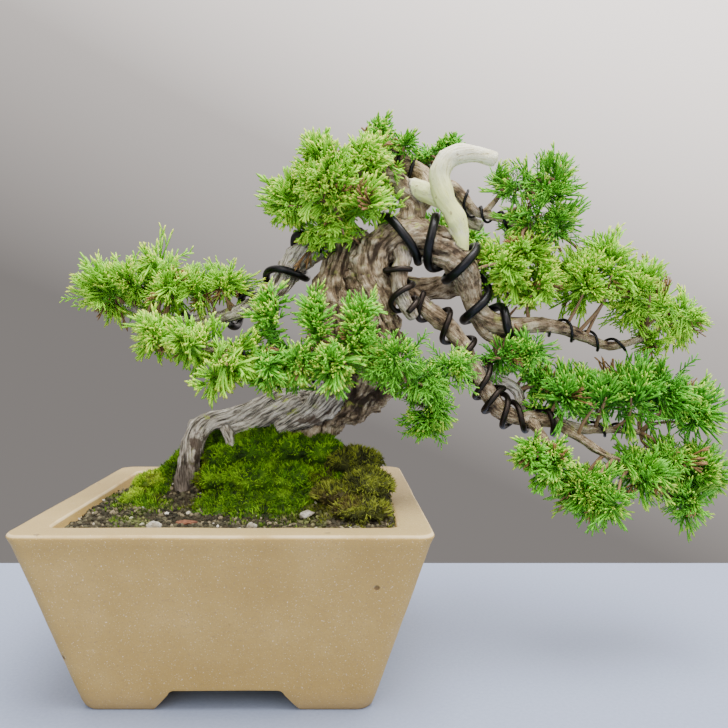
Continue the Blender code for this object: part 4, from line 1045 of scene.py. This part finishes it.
def bark_look():
    look = Look("juniper_wood", roughness=0.78, specular=0.3)
    grain = look.attribute("grain").outputs["Vector"]
    depth = look.attribute("depth").outputs["Fac"]
    pale = look.attribute("pale").outputs["Fac"]
    bare = look.attribute("bare").outputs["Fac"]
    streaks = look.noise(0.9, 4, 0.6, grain)
    fine = look.noise(3.2, 4, 0.65, grain)
    patches = look.noise(70, 3)
    rough_bark = look.maths("ADD", look.maths("MULTIPLY", streaks, 0.4), look.maths("MULTIPLY", look.noise(170, 5), 0.6))
    bark = look.ramp(
        rough_bark, (0.37, (0.045, 0.030, 0.018)), (0.44, (0.22, 0.155, 0.09)), (0.52, (0.48, 0.37, 0.23)),
        (0.61, (0.80, 0.69, 0.49)),
    )
    silver = look.ramp(
        streaks, (0.32, (0.035, 0.03, 0.022)), (0.42, (0.27, 0.245, 0.20)), (0.52, (0.72, 0.66, 0.54)),
        (0.66, (0.97, 0.93, 0.84)),
    )
    worn = look.step(look.maths("ADD", look.maths("MULTIPLY", patches, 0.9), pale), 0.85, 1.2)
    tone = look.mix(worn, bark, silver)
    tone = look.mix(look.step(fine, 0.60, 0.40), tone, (0.62, 0.60, 0.58), "MULTIPLY")
    # Painted shade: the bark is darkened where depth is low, in furrows and between strands.
    tone = look.mix(look.step(depth, 0.40, 0.0), tone, (0.05, 0.032, 0.018))
    # Dark patches on the weathered, silvery wood: painted shade of hollows.
    painted_hollow_shade = look.maths("MULTIPLY", look.step(look.noise(85, 4, 0.6), 0.46, 0.38), look.step(pale, 0.4, 0.9))
    tone = look.mix(look.maths("MULTIPLY", painted_hollow_shade, 0.85), tone, (0.085, 0.055, 0.035))
    up = look.add("ShaderNodeSeparateXYZ")
    look.plug(up.inputs[0], look.add("ShaderNodeNewGeometry").outputs["Normal"])
    lit = look.step(up.outputs["Z"], -0.2, 0.8)
    lichen_noise = look.step(look.noise(240, 3, 0.6), 0.53, 0.62)
    lichen = look.maths("MULTIPLY", look.maths("MULTIPLY", lichen_noise, look.step(patches, 0.47, 0.6)), lit)
    tone = look.mix(look.maths("MULTIPLY", lichen, 0.75), tone, (0.50, 0.60, 0.09))
    height = look.add("ShaderNodeSeparateXYZ")
    look.plug(height.inputs[0], look.place)
    # The wood is made much darker low down, towards the soil.
    darker_low_wood = look.step(look.maths("ADD", height.outputs["Z"], look.maths("MULTIPLY", streaks, 0.03)), 0.124, 0.108)
    tone = look.mix(look.maths("MULTIPLY", darker_low_wood, 0.9), tone, look.mix(1.0, tone, (0.22, 0.19, 0.18), "MULTIPLY"))
    dry = look.ramp(look.noise(1.1, 3, 0.6, grain), (0.34, (0.42, 0.34, 0.20)), (0.43, (0.84, 0.80, 0.58)), (0.7, (0.98, 0.96, 0.82)))
    green_foot = look.step(height.outputs["Z"], 0.258, 0.225)
    algae = look.maths("MULTIPLY", green_foot, look.step(look.noise(120, 3), 0.25, 0.5))
    dry = look.mix(look.maths("MULTIPLY", algae, 0.85), dry, (0.84, 0.90, 0.30))
    dry = look.mix(look.maths("MULTIPLY", look.step(look.noise(330, 2), 0.66, 0.72), 0.6), dry, (0.20, 0.13, 0.07))
    look.colour(look.mix(look.step(bare, 0.35, 0.7), tone, dry))
    look.bump(look.maths("MULTIPLY", rough_bark, look.step(bare, 0.8, 0.2)), 0.0024, 0.9)
    look.bump(streaks, 0.0008, 0.6)
    look.bump(fine, 0.0006, 0.7)
    look.bump(look.noise(900, 3), 0.0003, 0.4)
    return look.material


wood.data.materials.append(bark_look())
settle(wood, "juniper_wood", "trunk_and_branches")
print("wood", len(wood.data.polygons) * 2)

# ------------------------------------------------------------------------------------------
# The training wires. Soft aluminium wire, anodised black or brown, is wound round each limb
# in open coils, tight against the bark, and keeps the limb where it was bent.


def wire_look(name, colour, roughness):
    look = Look(name, roughness=roughness)
    look.shader.inputs["Metallic"].default_value = 0.85
    scuffs = look.noise(900, 3, 0.7)
    look.colour(look.mix(look.step(scuffs, 0.62, 0.75), colour, tuple(min(1, 4 * c) for c in colour)))
    worn = look.add("ShaderNodeMapRange")
    look.plug(worn.inputs["Value"], look.noise(260, 2))
    worn.inputs["To Min"].default_value = roughness - 0.08
    worn.inputs["To Max"].default_value = roughness + 0.18
    look.plug(look.shader.inputs["Roughness"], worn.outputs["Result"])
    look.bump(look.noise(500, 2), 0.0002, 0.25)
    return look.material


BLACK_WIRE = wire_look("black_wire", (0.018, 0.018, 0.019), 0.28)
BROWN_WIRE = wire_look("brown_wire", (0.026, 0.020, 0.016), 0.34)
BROWN_WIRED = ("wire_cascade_first", "wire_cascade_second", "wire_cascade_tip", "wire_cut_limb")


WIRE_RADII = {
    "wire_right_limb": 2.25, "wire_left_limb": 2, "wire_cascade_first": 1.5, "wire_cascade_second": 1.5,
    "wire_cut_limb": 1.5, "wire_left_tip": 1, "wire_apex": 1, "wire_low_limb": 1,
}
THIN_RADIUS = 0.75
ROUNDING_LOSS = 1 / 6  # share of its radius that a six-sided tube loses when it is rounded


def wound_wire(node):
    """The wire's coil from the frame with its six flats rounded off."""
    bm = bmesh.new()
    bm.from_mesh(frame["nodes"][node].data)
    bmesh.ops.remove_doubles(bm, verts=bm.verts, dist=0.002 * MM)
    bmesh.ops.join_triangles(bm, faces=bm.faces, angle_face_threshold=3.1, angle_shape_threshold=3.1)
    mesh = bpy.data.meshes.new(node + "_coil")
    bm.to_mesh(mesh)
    bm.free()
    piece = add_piece(node + "_coil", mesh, BROWN_WIRE if node in BROWN_WIRED else BLACK_WIRE)
    rounded = piece.modifiers.new("rounded", "SUBSURF")
    rounded.levels = rounded.render_levels = 2
    applied(piece)
    swell = WIRE_RADII.get(node, THIN_RADIUS) * MM * ROUNDING_LOSS
    for vert, normal in zip(piece.data.vertices, [v.normal.copy() for v in piece.data.vertices]):
        vert.co += normal * swell
    piece.data.shade_smooth()
    return piece


for node in sorted(frame["nodes"]):
    if node.startswith("wire_"):
        settle(wound_wire(node), "brown_wire" if node in BROWN_WIRED else "black_wire", node)

# ------------------------------------------------------------------------------------------
# The foliage. Each pad is hundreds of sprigs: slender shoots of tight scale leaves in fans
# from one point, dense young tufts, and looser shoots with needles. The tips are yellow-green
# and the inside of a pad is dark, with a few dead brown sprigs.


def add_shoot(bm, tip_layer, foot, way, length, thickness, start=0.0, end=1.0, sides=3):
    """One shoot: a slim closed stick, thickest and blunt near its end."""
    side = way.orthogonal().normalized()
    rings = []
    for share, width in ((0, 0.6), (0.86, 1.0)):
        centre = foot + way * length * share
        ring = []
        for i in range(sides):
            vert = bm.verts.new(centre + Matrix.Rotation(i * math.tau / sides, 3, way) @ side * thickness * width / 2)
            vert[tip_layer] = start + (end - start) * share
            ring.append(vert)
        rings.append(ring)
    top = bm.verts.new(foot + way * length)
    top[tip_layer] = end
    for i in range(sides):
        j = (i + 1) % sides
        bm.faces.new((rings[0][i], rings[0][j], rings[1][j], rings[1][i]))
        bm.faces.new((rings[1][i], rings[1][j], top))
    bm.faces.new(rings[0][::-1])


def leaning(pick, low, high, turn=None):
    """A way that leans off straight up by low to high degrees."""
    lean = math.radians(pick.uniform(low, high))
    turn = pick.uniform(0, math.tau) if turn is None else turn
    return Vector((math.sin(lean) * math.cos(turn), math.sin(lean) * math.sin(turn), math.cos(lean)))


def fan_mesh(name, seed, shoots, spread, shortest, longest, thickness):
    """Shoots in a fan from one point, each forked once, as the scale-leaved sprigs grow."""
    pick = random.Random(seed)
    bm = bmesh.new()
    tip_layer = bm.verts.layers.float.new("tip")
    for i in range(shoots):
        way = leaning(pick, 3, spread, i * 2.4)
        foot = Vector((pick.uniform(-0.6, 0.6), pick.uniform(-0.6, 0.6), pick.uniform(0, 2.5)))
        length, width = pick.uniform(shortest, longest), thickness * pick.uniform(0.85, 1.15)
        add_shoot(bm, tip_layer, foot, way, length, width)
        fork = foot + way * length * pick.uniform(0.4, 0.7)
        side_way = (way + leaning(pick, 50, 90) * 0.6).normalized()
        add_shoot(bm, tip_layer, fork, side_way, length * pick.uniform(0.3, 0.45), width * 0.9, 0.5, 1)
    return mesh_of(name, bm)


def feather_mesh(name, seed, length, needles, needle_length, thickness):
    """One long shoot with needles all round it, as the young juvenile growth has."""
    pick = random.Random(seed)
    bm = bmesh.new()
    tip_layer = bm.verts.layers.float.new("tip")
    add_shoot(bm, tip_layer, Vector(), Vector((0, 0, 1)), length, 0.8, 0, 0.8)
    for i in range(needles):
        share = 0.2 + 0.75 * i / needles
        way = leaning(pick, 32, 50, i * 2.4)
        reach = needle_length * (1.15 - 0.5 * share)
        add_shoot(bm, tip_layer, Vector((0, 0, length * share)), way, reach, thickness, share * 0.6, 0.5 + share * 0.5)
    return mesh_of(name, bm)


def foliage_look(name, deep, middle, bright, dead_share=0.03):
    look = Look(name, roughness=0.5, specular=0.35)
    tip = look.attribute("tip").outputs["Fac"]
    vary = look.attribute("vary").outputs["Fac"]
    tuft = look.noise(75, 2)
    green = look.mix(look.step(tip, 0.05, 0.75), deep, middle)
    fresh = look.maths("ADD", tuft, look.maths("MULTIPLY", vary, 0.5))
    young = look.maths("MULTIPLY", look.step(tip, 0.72, 1.0), look.step(fresh, 0.60, 0.92))
    green = look.mix(young, green, bright)
    green = look.mix(look.step(look.noise(900, 2), 0.3, 0.7), look.mix(1.0, green, (0.72, 0.78, 0.7), "MULTIPLY"), green)
    brown = look.mix(tip, (0.10, 0.045, 0.015), (0.30, 0.17, 0.06))
    look.colour(look.mix(look.step(vary, dead_share, dead_share - 0.005), green, brown))
    look.bump(look.noise(1500, 2), 0.0003, 0.5)
    look.shader.inputs["Subsurface Weight"].default_value = 0.0
    return look.material


YELLOW_GREEN = foliage_look("yellow_green_foliage", (0.15, 0.44, 0.018), (0.34, 0.75, 0.035), (0.82, 0.93, 0.10))
FRESH_GREEN = foliage_look("fresh_green_foliage", (0.06, 0.28, 0.010), (0.155, 0.53, 0.024), (0.66, 0.85, 0.09))
DEEP_GREEN = foliage_look("deep_green_foliage", (0.045, 0.25, 0.010), (0.12, 0.50, 0.025), (0.54, 0.82, 0.08))
SCALE_SPRIGS = collection_of(
    "scale_sprigs",
    [
        fan_mesh("fan_wide", 1, 7, 38, 5, 12, 1.3), fan_mesh("fan_tight", 2, 6, 22, 7, 13, 1.3),
        fan_mesh("tuft_round", 3, 8, 60, 4, 8, 1.35), fan_mesh("tuft_short", 4, 8, 46, 4, 8, 1.35),
        fan_mesh("fan_long", 5, 5, 24, 9, 15, 1.15),
    ],
)
NEEDLE_SPRIGS = collection_of(
    "needle_sprigs",
    [
        feather_mesh("feather_long", 6, 16, 13, 5.5, 0.65), feather_mesh("feather_short", 7, 12, 11, 5.0, 0.65),
        fan_mesh("fan_fine", 8, 9, 38, 7, 13, 1.0),
    ],
)
LOOSE_SPRIGS = collection_of(
    "loose_sprigs",
    [
        fan_mesh("loose_wide", 10, 6, 40, 8, 15, 1.1), fan_mesh("loose_tight", 11, 5, 20, 10, 18, 1.05),
        fan_mesh("loose_tuft", 12, 8, 50, 5, 10, 1.1), feather_mesh("loose_feather", 13, 14, 11, 5, 0.75),
    ],
)
# For each pad: which sprigs, their look and size, how much they turn upwards, and how far
# inside the pad's outer shape in mm their tips end.
PADS = {
    "foliage_left_tip": (LOOSE_SPRIGS, YELLOW_GREEN, 0.95, 0.35, -3),
    "foliage_left_low": (SCALE_SPRIGS, YELLOW_GREEN, 0.95, 0.35, -2),
    "foliage_front_low": (SCALE_SPRIGS, FRESH_GREEN, 0.92, 0.45, -0.5),
    "foliage_front_right": (NEEDLE_SPRIGS, FRESH_GREEN, 1.0, -0.25, -2),
    "foliage_crown_left": (SCALE_SPRIGS, YELLOW_GREEN, 0.92, 0.25, 2.5),
    "foliage_crown_top": (SCALE_SPRIGS, FRESH_GREEN, 0.75, 0.6, 2.5),
    "foliage_crown_back": (SCALE_SPRIGS, DEEP_GREEN, 0.75, 0.4, 2),
    "foliage_right_upper": (LOOSE_SPRIGS, FRESH_GREEN, 0.85, 0.35, -2),
    "foliage_right_inner": (SCALE_SPRIGS, YELLOW_GREEN, 0.9, 0.15, -1),
    "foliage_right_outer": (LOOSE_SPRIGS, YELLOW_GREEN, 0.95, 0.25, -3),
    "foliage_under_branch": (LOOSE_SPRIGS, DEEP_GREEN, 0.8, -0.5, -2),
    "foliage_cascade_upper": (LOOSE_SPRIGS, DEEP_GREEN, 1.0, 0.5, -2),
    "foliage_cascade_lower": (LOOSE_SPRIGS, FRESH_GREEN, 0.95, 0.1, 1),
    "foliage_cascade_inner": (SCALE_SPRIGS, FRESH_GREEN, 0.9, 0.0, -1),
    "foliage_back": (SCALE_SPRIGS, FRESH_GREEN, 0.95, 0.3, -1),
}


def foliage_tree(name, sprigs, look):
    """Sprigs all over a pad, rooted inside its outer shape and aimed out."""
    tree = node_group(name)
    socket(tree, "Spacing", "Float", 0.003)
    socket(tree, "Density", "Float", 200000.0)
    socket(tree, "Size", "Float", 0.001)
    socket(tree, "Root Depth", "Float", 0.012)
    socket(tree, "Relief", "Float", 0.02)
    socket(tree, "Upturn", "Float", 0.2)
    socket(tree, "Wander", "Float", 0.5)
    socket(tree, "Drift", "Float", 3.0)
    socket(tree, "Seed", "Int", 1)
    chain = Chain(tree)
    inputs = chain.input.outputs
    gaps = chain.add("ShaderNodeTexNoise", {"Scale": 105.0, "Detail": 0.0}).outputs[0]
    thick = chain.add("ShaderNodeMapRange", {"Value": gaps, "From Min": 0.35, "From Max": 0.45}).outputs[0]
    points = chain.add(
        "GeometryNodeDistributePointsOnFaces",
        {"Mesh": inputs["Geometry"], "Distance Min": inputs["Spacing"], "Density Max": inputs["Density"],
         "Density Factor": thick, "Seed": inputs["Seed"]},
        distribute_method="POISSON",
    )
    wander = chain.random((-1, -1, -1), (1, 1, 1), 3, "FLOAT_VECTOR")
    aim = chain.vector("ADD", points.outputs["Normal"], chain.scaled(wander, inputs["Wander"]))
    drift = chain.add("ShaderNodeTexNoise", {"Scale": 70.0, "Detail": 0.0})
    drift = chain.vector("SUBTRACT", drift.outputs["Color"], (0.5, 0.5, 0.5))
    aim = chain.vector("ADD", aim, chain.scaled(drift, inputs["Drift"]))
    lift = chain.add("ShaderNodeCombineXYZ", {"Z": inputs["Upturn"]}).outputs[0]
    aim = chain.vector("NORMALIZE", chain.vector("ADD", aim, lift))
    turned = chain.add("FunctionNodeAlignRotationToVector", {"Vector": aim}, axis="Z")
    spin = chain.add("FunctionNodeAxisAngleToRotation", {"Axis": (0, 0, 1), "Angle": chain.random(0.0, math.tau, 5)})
    spun = chain.add(
        "FunctionNodeRotateRotation", {"Rotation": turned.outputs[0], "Rotate By": spin.outputs[0]}, rotation_space="LOCAL"
    )
    clump = chain.add("ShaderNodeTexNoise", {"Scale": 95.0, "Detail": 1.0})
    clumped = chain.maths("MULTIPLY_ADD", clump.outputs[0], 1.1)
    chain.put(clumped.node.inputs[2], 0.45)
    swell = chain.add("ShaderNodeTexNoise", {"Scale": 62.0, "Detail": 0.0}).outputs[0]
    swell = chain.maths("MULTIPLY", chain.maths("SUBTRACT", swell, 0.5), inputs["Relief"])
    depth = chain.maths("SUBTRACT", chain.maths("MULTIPLY", inputs["Root Depth"], chain.random(0.8, 1.5, 31)), swell)
    inward = chain.scaled(points.outputs["Normal"], -1.0)
    start = chain.vector("ADD", chain.add("GeometryNodeInputPosition").outputs[0], chain.scaled(inward, 0.0004))
    across = chain.add(
        "GeometryNodeRaycast",
        {"Target Geometry": inputs["Geometry"], "Source Position": start, "Ray Direction": inward, "Ray Length": 0.2},
    )
    depth = chain.maths("MINIMUM", depth, chain.maths("MULTIPLY", across.outputs["Hit Distance"], 0.6))
    kept = chain.add("GeometryNodeStoreNamedAttribute", {"Geometry": points.outputs["Points"], "Name": "fit"})
    chain.put(kept.inputs["Value"], chain.maths("DIVIDE", depth, inputs["Root Depth"]))
    rooted = chain.add("GeometryNodeSetPosition", {"Geometry": kept.outputs[0]})
    chain.put(rooted.inputs["Offset"], chain.scaled(inward, depth))
    fit = chain.add("GeometryNodeInputNamedAttribute", {"Name": "fit"}).outputs[0]
    fit = chain.maths("MAXIMUM", chain.maths("MINIMUM", fit, 1.0), 0.85)
    group = chain.add("GeometryNodeCollectionInfo", {"Collection": sprigs, "Separate Children": True, "Reset Children": True})
    placed = chain.add(
        "GeometryNodeInstanceOnPoints",
        {"Points": rooted.outputs[0], "Instance": group.outputs[0], "Pick Instance": True, "Rotation": spun.outputs[0],
         "Instance Index": chain.random(0, len(sprigs.objects) - 1, 8, "INT")},
    )
    size = chain.maths("MULTIPLY", chain.maths("MULTIPLY", chain.random(0.75, 1.2, 9), clumped), fit)
    chain.put(placed.inputs["Scale"], chain.maths("MULTIPLY", size, inputs["Size"]))
    varied = chain.store(placed.outputs[0], "vary", chain.random(0.0, 1.0, 14))
    chain.finish(varied, look)
    return tree


growth = {}
total = 0
for node, (sprigs, look, size, upturn, inset) in PADS.items():
    key = (sprigs.name, look.name)
    if key not in growth:
        growth[key] = foliage_tree("_".join(key), sprigs, look)
    pad = grown(
        node + "_sprigs", merged_copy(node + "_skin", node), growth[key],
        **{"Spacing": 2.6 * MM, "Density": 200000.0, "Size": size * MM, "Root Depth": (11.3 * size + inset) * MM,
           "Relief": 22 * MM, "Upturn": upturn, "Wander": 0.7, "Drift": 2.8, "Seed": len(node)},
    )
    settle(pad, "foliage", node)
    total += sum(len(p.vertices) - 2 for p in pad.data.polygons)
    print(node, len(pad.data.polygons))
print("foliage", total)
drop_collection(SCALE_SPRIGS)
drop_collection(NEEDLE_SPRIGS)
drop_collection(LOOSE_SPRIGS)

# ------------------------------------------------------------------------------------------
# The twigs. Thin brown twigs leave the limbs and branch out to every part of a pad. They
# show wherever the sprigs leave a gap.

TWIGS_EACH = 16
BARE_LIMBS = ("trunk", "root_leg", "root_strand", "root_ridge", "root_spur", "deadwood", "deadwood_fork")
bearing = np.vstack([route[:, :3] for limb, route in ROUTES.items() if limb not in BARE_LIMBS])
middle = np.array(spot(0, 0, 0))
pick = random.Random(31)
bm = bmesh.new()
for node in PADS:
    outline = merged_copy(node + "_outline", node)
    for face in pick.sample(list(outline.polygons), TWIGS_EACH):
        tip = (np.array(face.center - face.normal * 6 * MM) - middle) / MM
        foot = bearing[np.linalg.norm(bearing - tip, axis=1).argmin()]
        bend = (foot + tip) / 2 + [pick.uniform(-4, 4) for _ in range(3)]
        add_tube(bm, smooth_route([(*foot, 1.1), (*bend, 0.85), (*tip, 0.5)], 4), 5)
    bpy.data.meshes.remove(outline)
twig_mesh = mesh_of("twigs", bm)
twig_mesh.transform(Matrix.Translation(spot(0, 0, 0)) @ Matrix.Scale(MM, 4))
twigs = add_piece("twigs", twig_mesh, plain_look("twig_bark", (0.25, 0.15, 0.075), 0.8))
settle(twigs, "juniper_wood")

# ------------------------------------------------------------------------------------------
# The stand, the light and the camera. A plain pale table top, one large soft light above and
# in front, and a level camera a hand's width above the rim.

floor_mesh = bpy.data.meshes.new("table_top")
bm = bmesh.new()
bmesh.ops.create_grid(bm, x_segments=1, y_segments=1, size=1.6)
bm.to_mesh(floor_mesh)
bm.free()
floor_mesh.transform(Matrix.Translation((0, POT_Y + 0.155 - 1.6, 0)))
floor_look = Look("table_top", roughness=0.6, specular=0.3)
floor_look.colour(floor_look.mix(floor_look.noise(600, 2), (0.23, 0.28, 0.405), (0.30, 0.36, 0.50)))
floor = add_piece("table_top", floor_mesh, floor_look.material)


def soft_light(name, place, aim, size, power, colour=(1, 1, 1)):
    lamp = bpy.data.lights.new(name, "AREA")
    lamp.shape = "DISK"
    lamp.size = size
    lamp.energy = power
    lamp.color = colour
    obj = bpy.data.objects.new(name, lamp)
    obj.location = place
    obj.rotation_euler = (Vector(aim) - Vector(place)).to_track_quat("-Z", "Y").to_euler()
    bpy.context.scene.collection.objects.link(obj)


soft_light("overhead", (0.2, -0.3, 1.4), (0, 0, 0.12), 1.1, 32)
soft_light("front_fill", (-0.5, -1.3, 0.7), (0, 0, 0.12), 1.0, 8)
world = bpy.data.worlds.new("studio")
world.use_nodes = True
across, up = world.node_tree.nodes.new("ShaderNodeMath"), world.node_tree.nodes.new("ShaderNodeMath")
parts = world.node_tree.nodes.new("ShaderNodeSeparateXYZ")
shades = world.node_tree.nodes.new("ShaderNodeValToRGB")
sky = world.node_tree.nodes.new("ShaderNodeTexCoord")
across.operation = up.operation = "MULTIPLY_ADD"
across.inputs[1].default_value, across.inputs[2].default_value, up.inputs[1].default_value = 0.3, 0.5, 0.7
for source, target in (
    (sky.outputs["Generated"], parts.inputs[0]), (parts.outputs["X"], across.inputs[0]),
    (parts.outputs["Z"], up.inputs[0]), (across.outputs[0], up.inputs[2]), (up.outputs[0], shades.inputs[0]),
    (shades.outputs[0], world.node_tree.nodes["Background"].inputs["Color"]),
):
    world.node_tree.links.new(source, target)
for stop, place, tone in zip(range(3), (0.44, 0.66, 0.92), (0.24, 0.74, 2.6)):
    item = shades.color_ramp.elements[stop] if stop < 2 else shades.color_ramp.elements.new(place)
    item.position = place
    item.color = (tone, tone * 0.92, tone * 0.875, 1)
world.node_tree.nodes["Background"].inputs["Strength"].default_value = 1.0
bpy.context.scene.world = world

camera = bpy.data.objects.new("camera", bpy.data.cameras.new("camera"))
camera.location = spot(46.7, -380, 74)
camera.rotation_euler = (math.pi / 2, 0, 0)
camera.data.lens = 36.6
camera.data.sensor_width = 36
camera.data.shift_x = 0.039
camera.data.shift_y = -0.021
camera.data.clip_start = 0.01
bpy.context.scene.collection.objects.link(camera)
bpy.context.scene.camera = camera
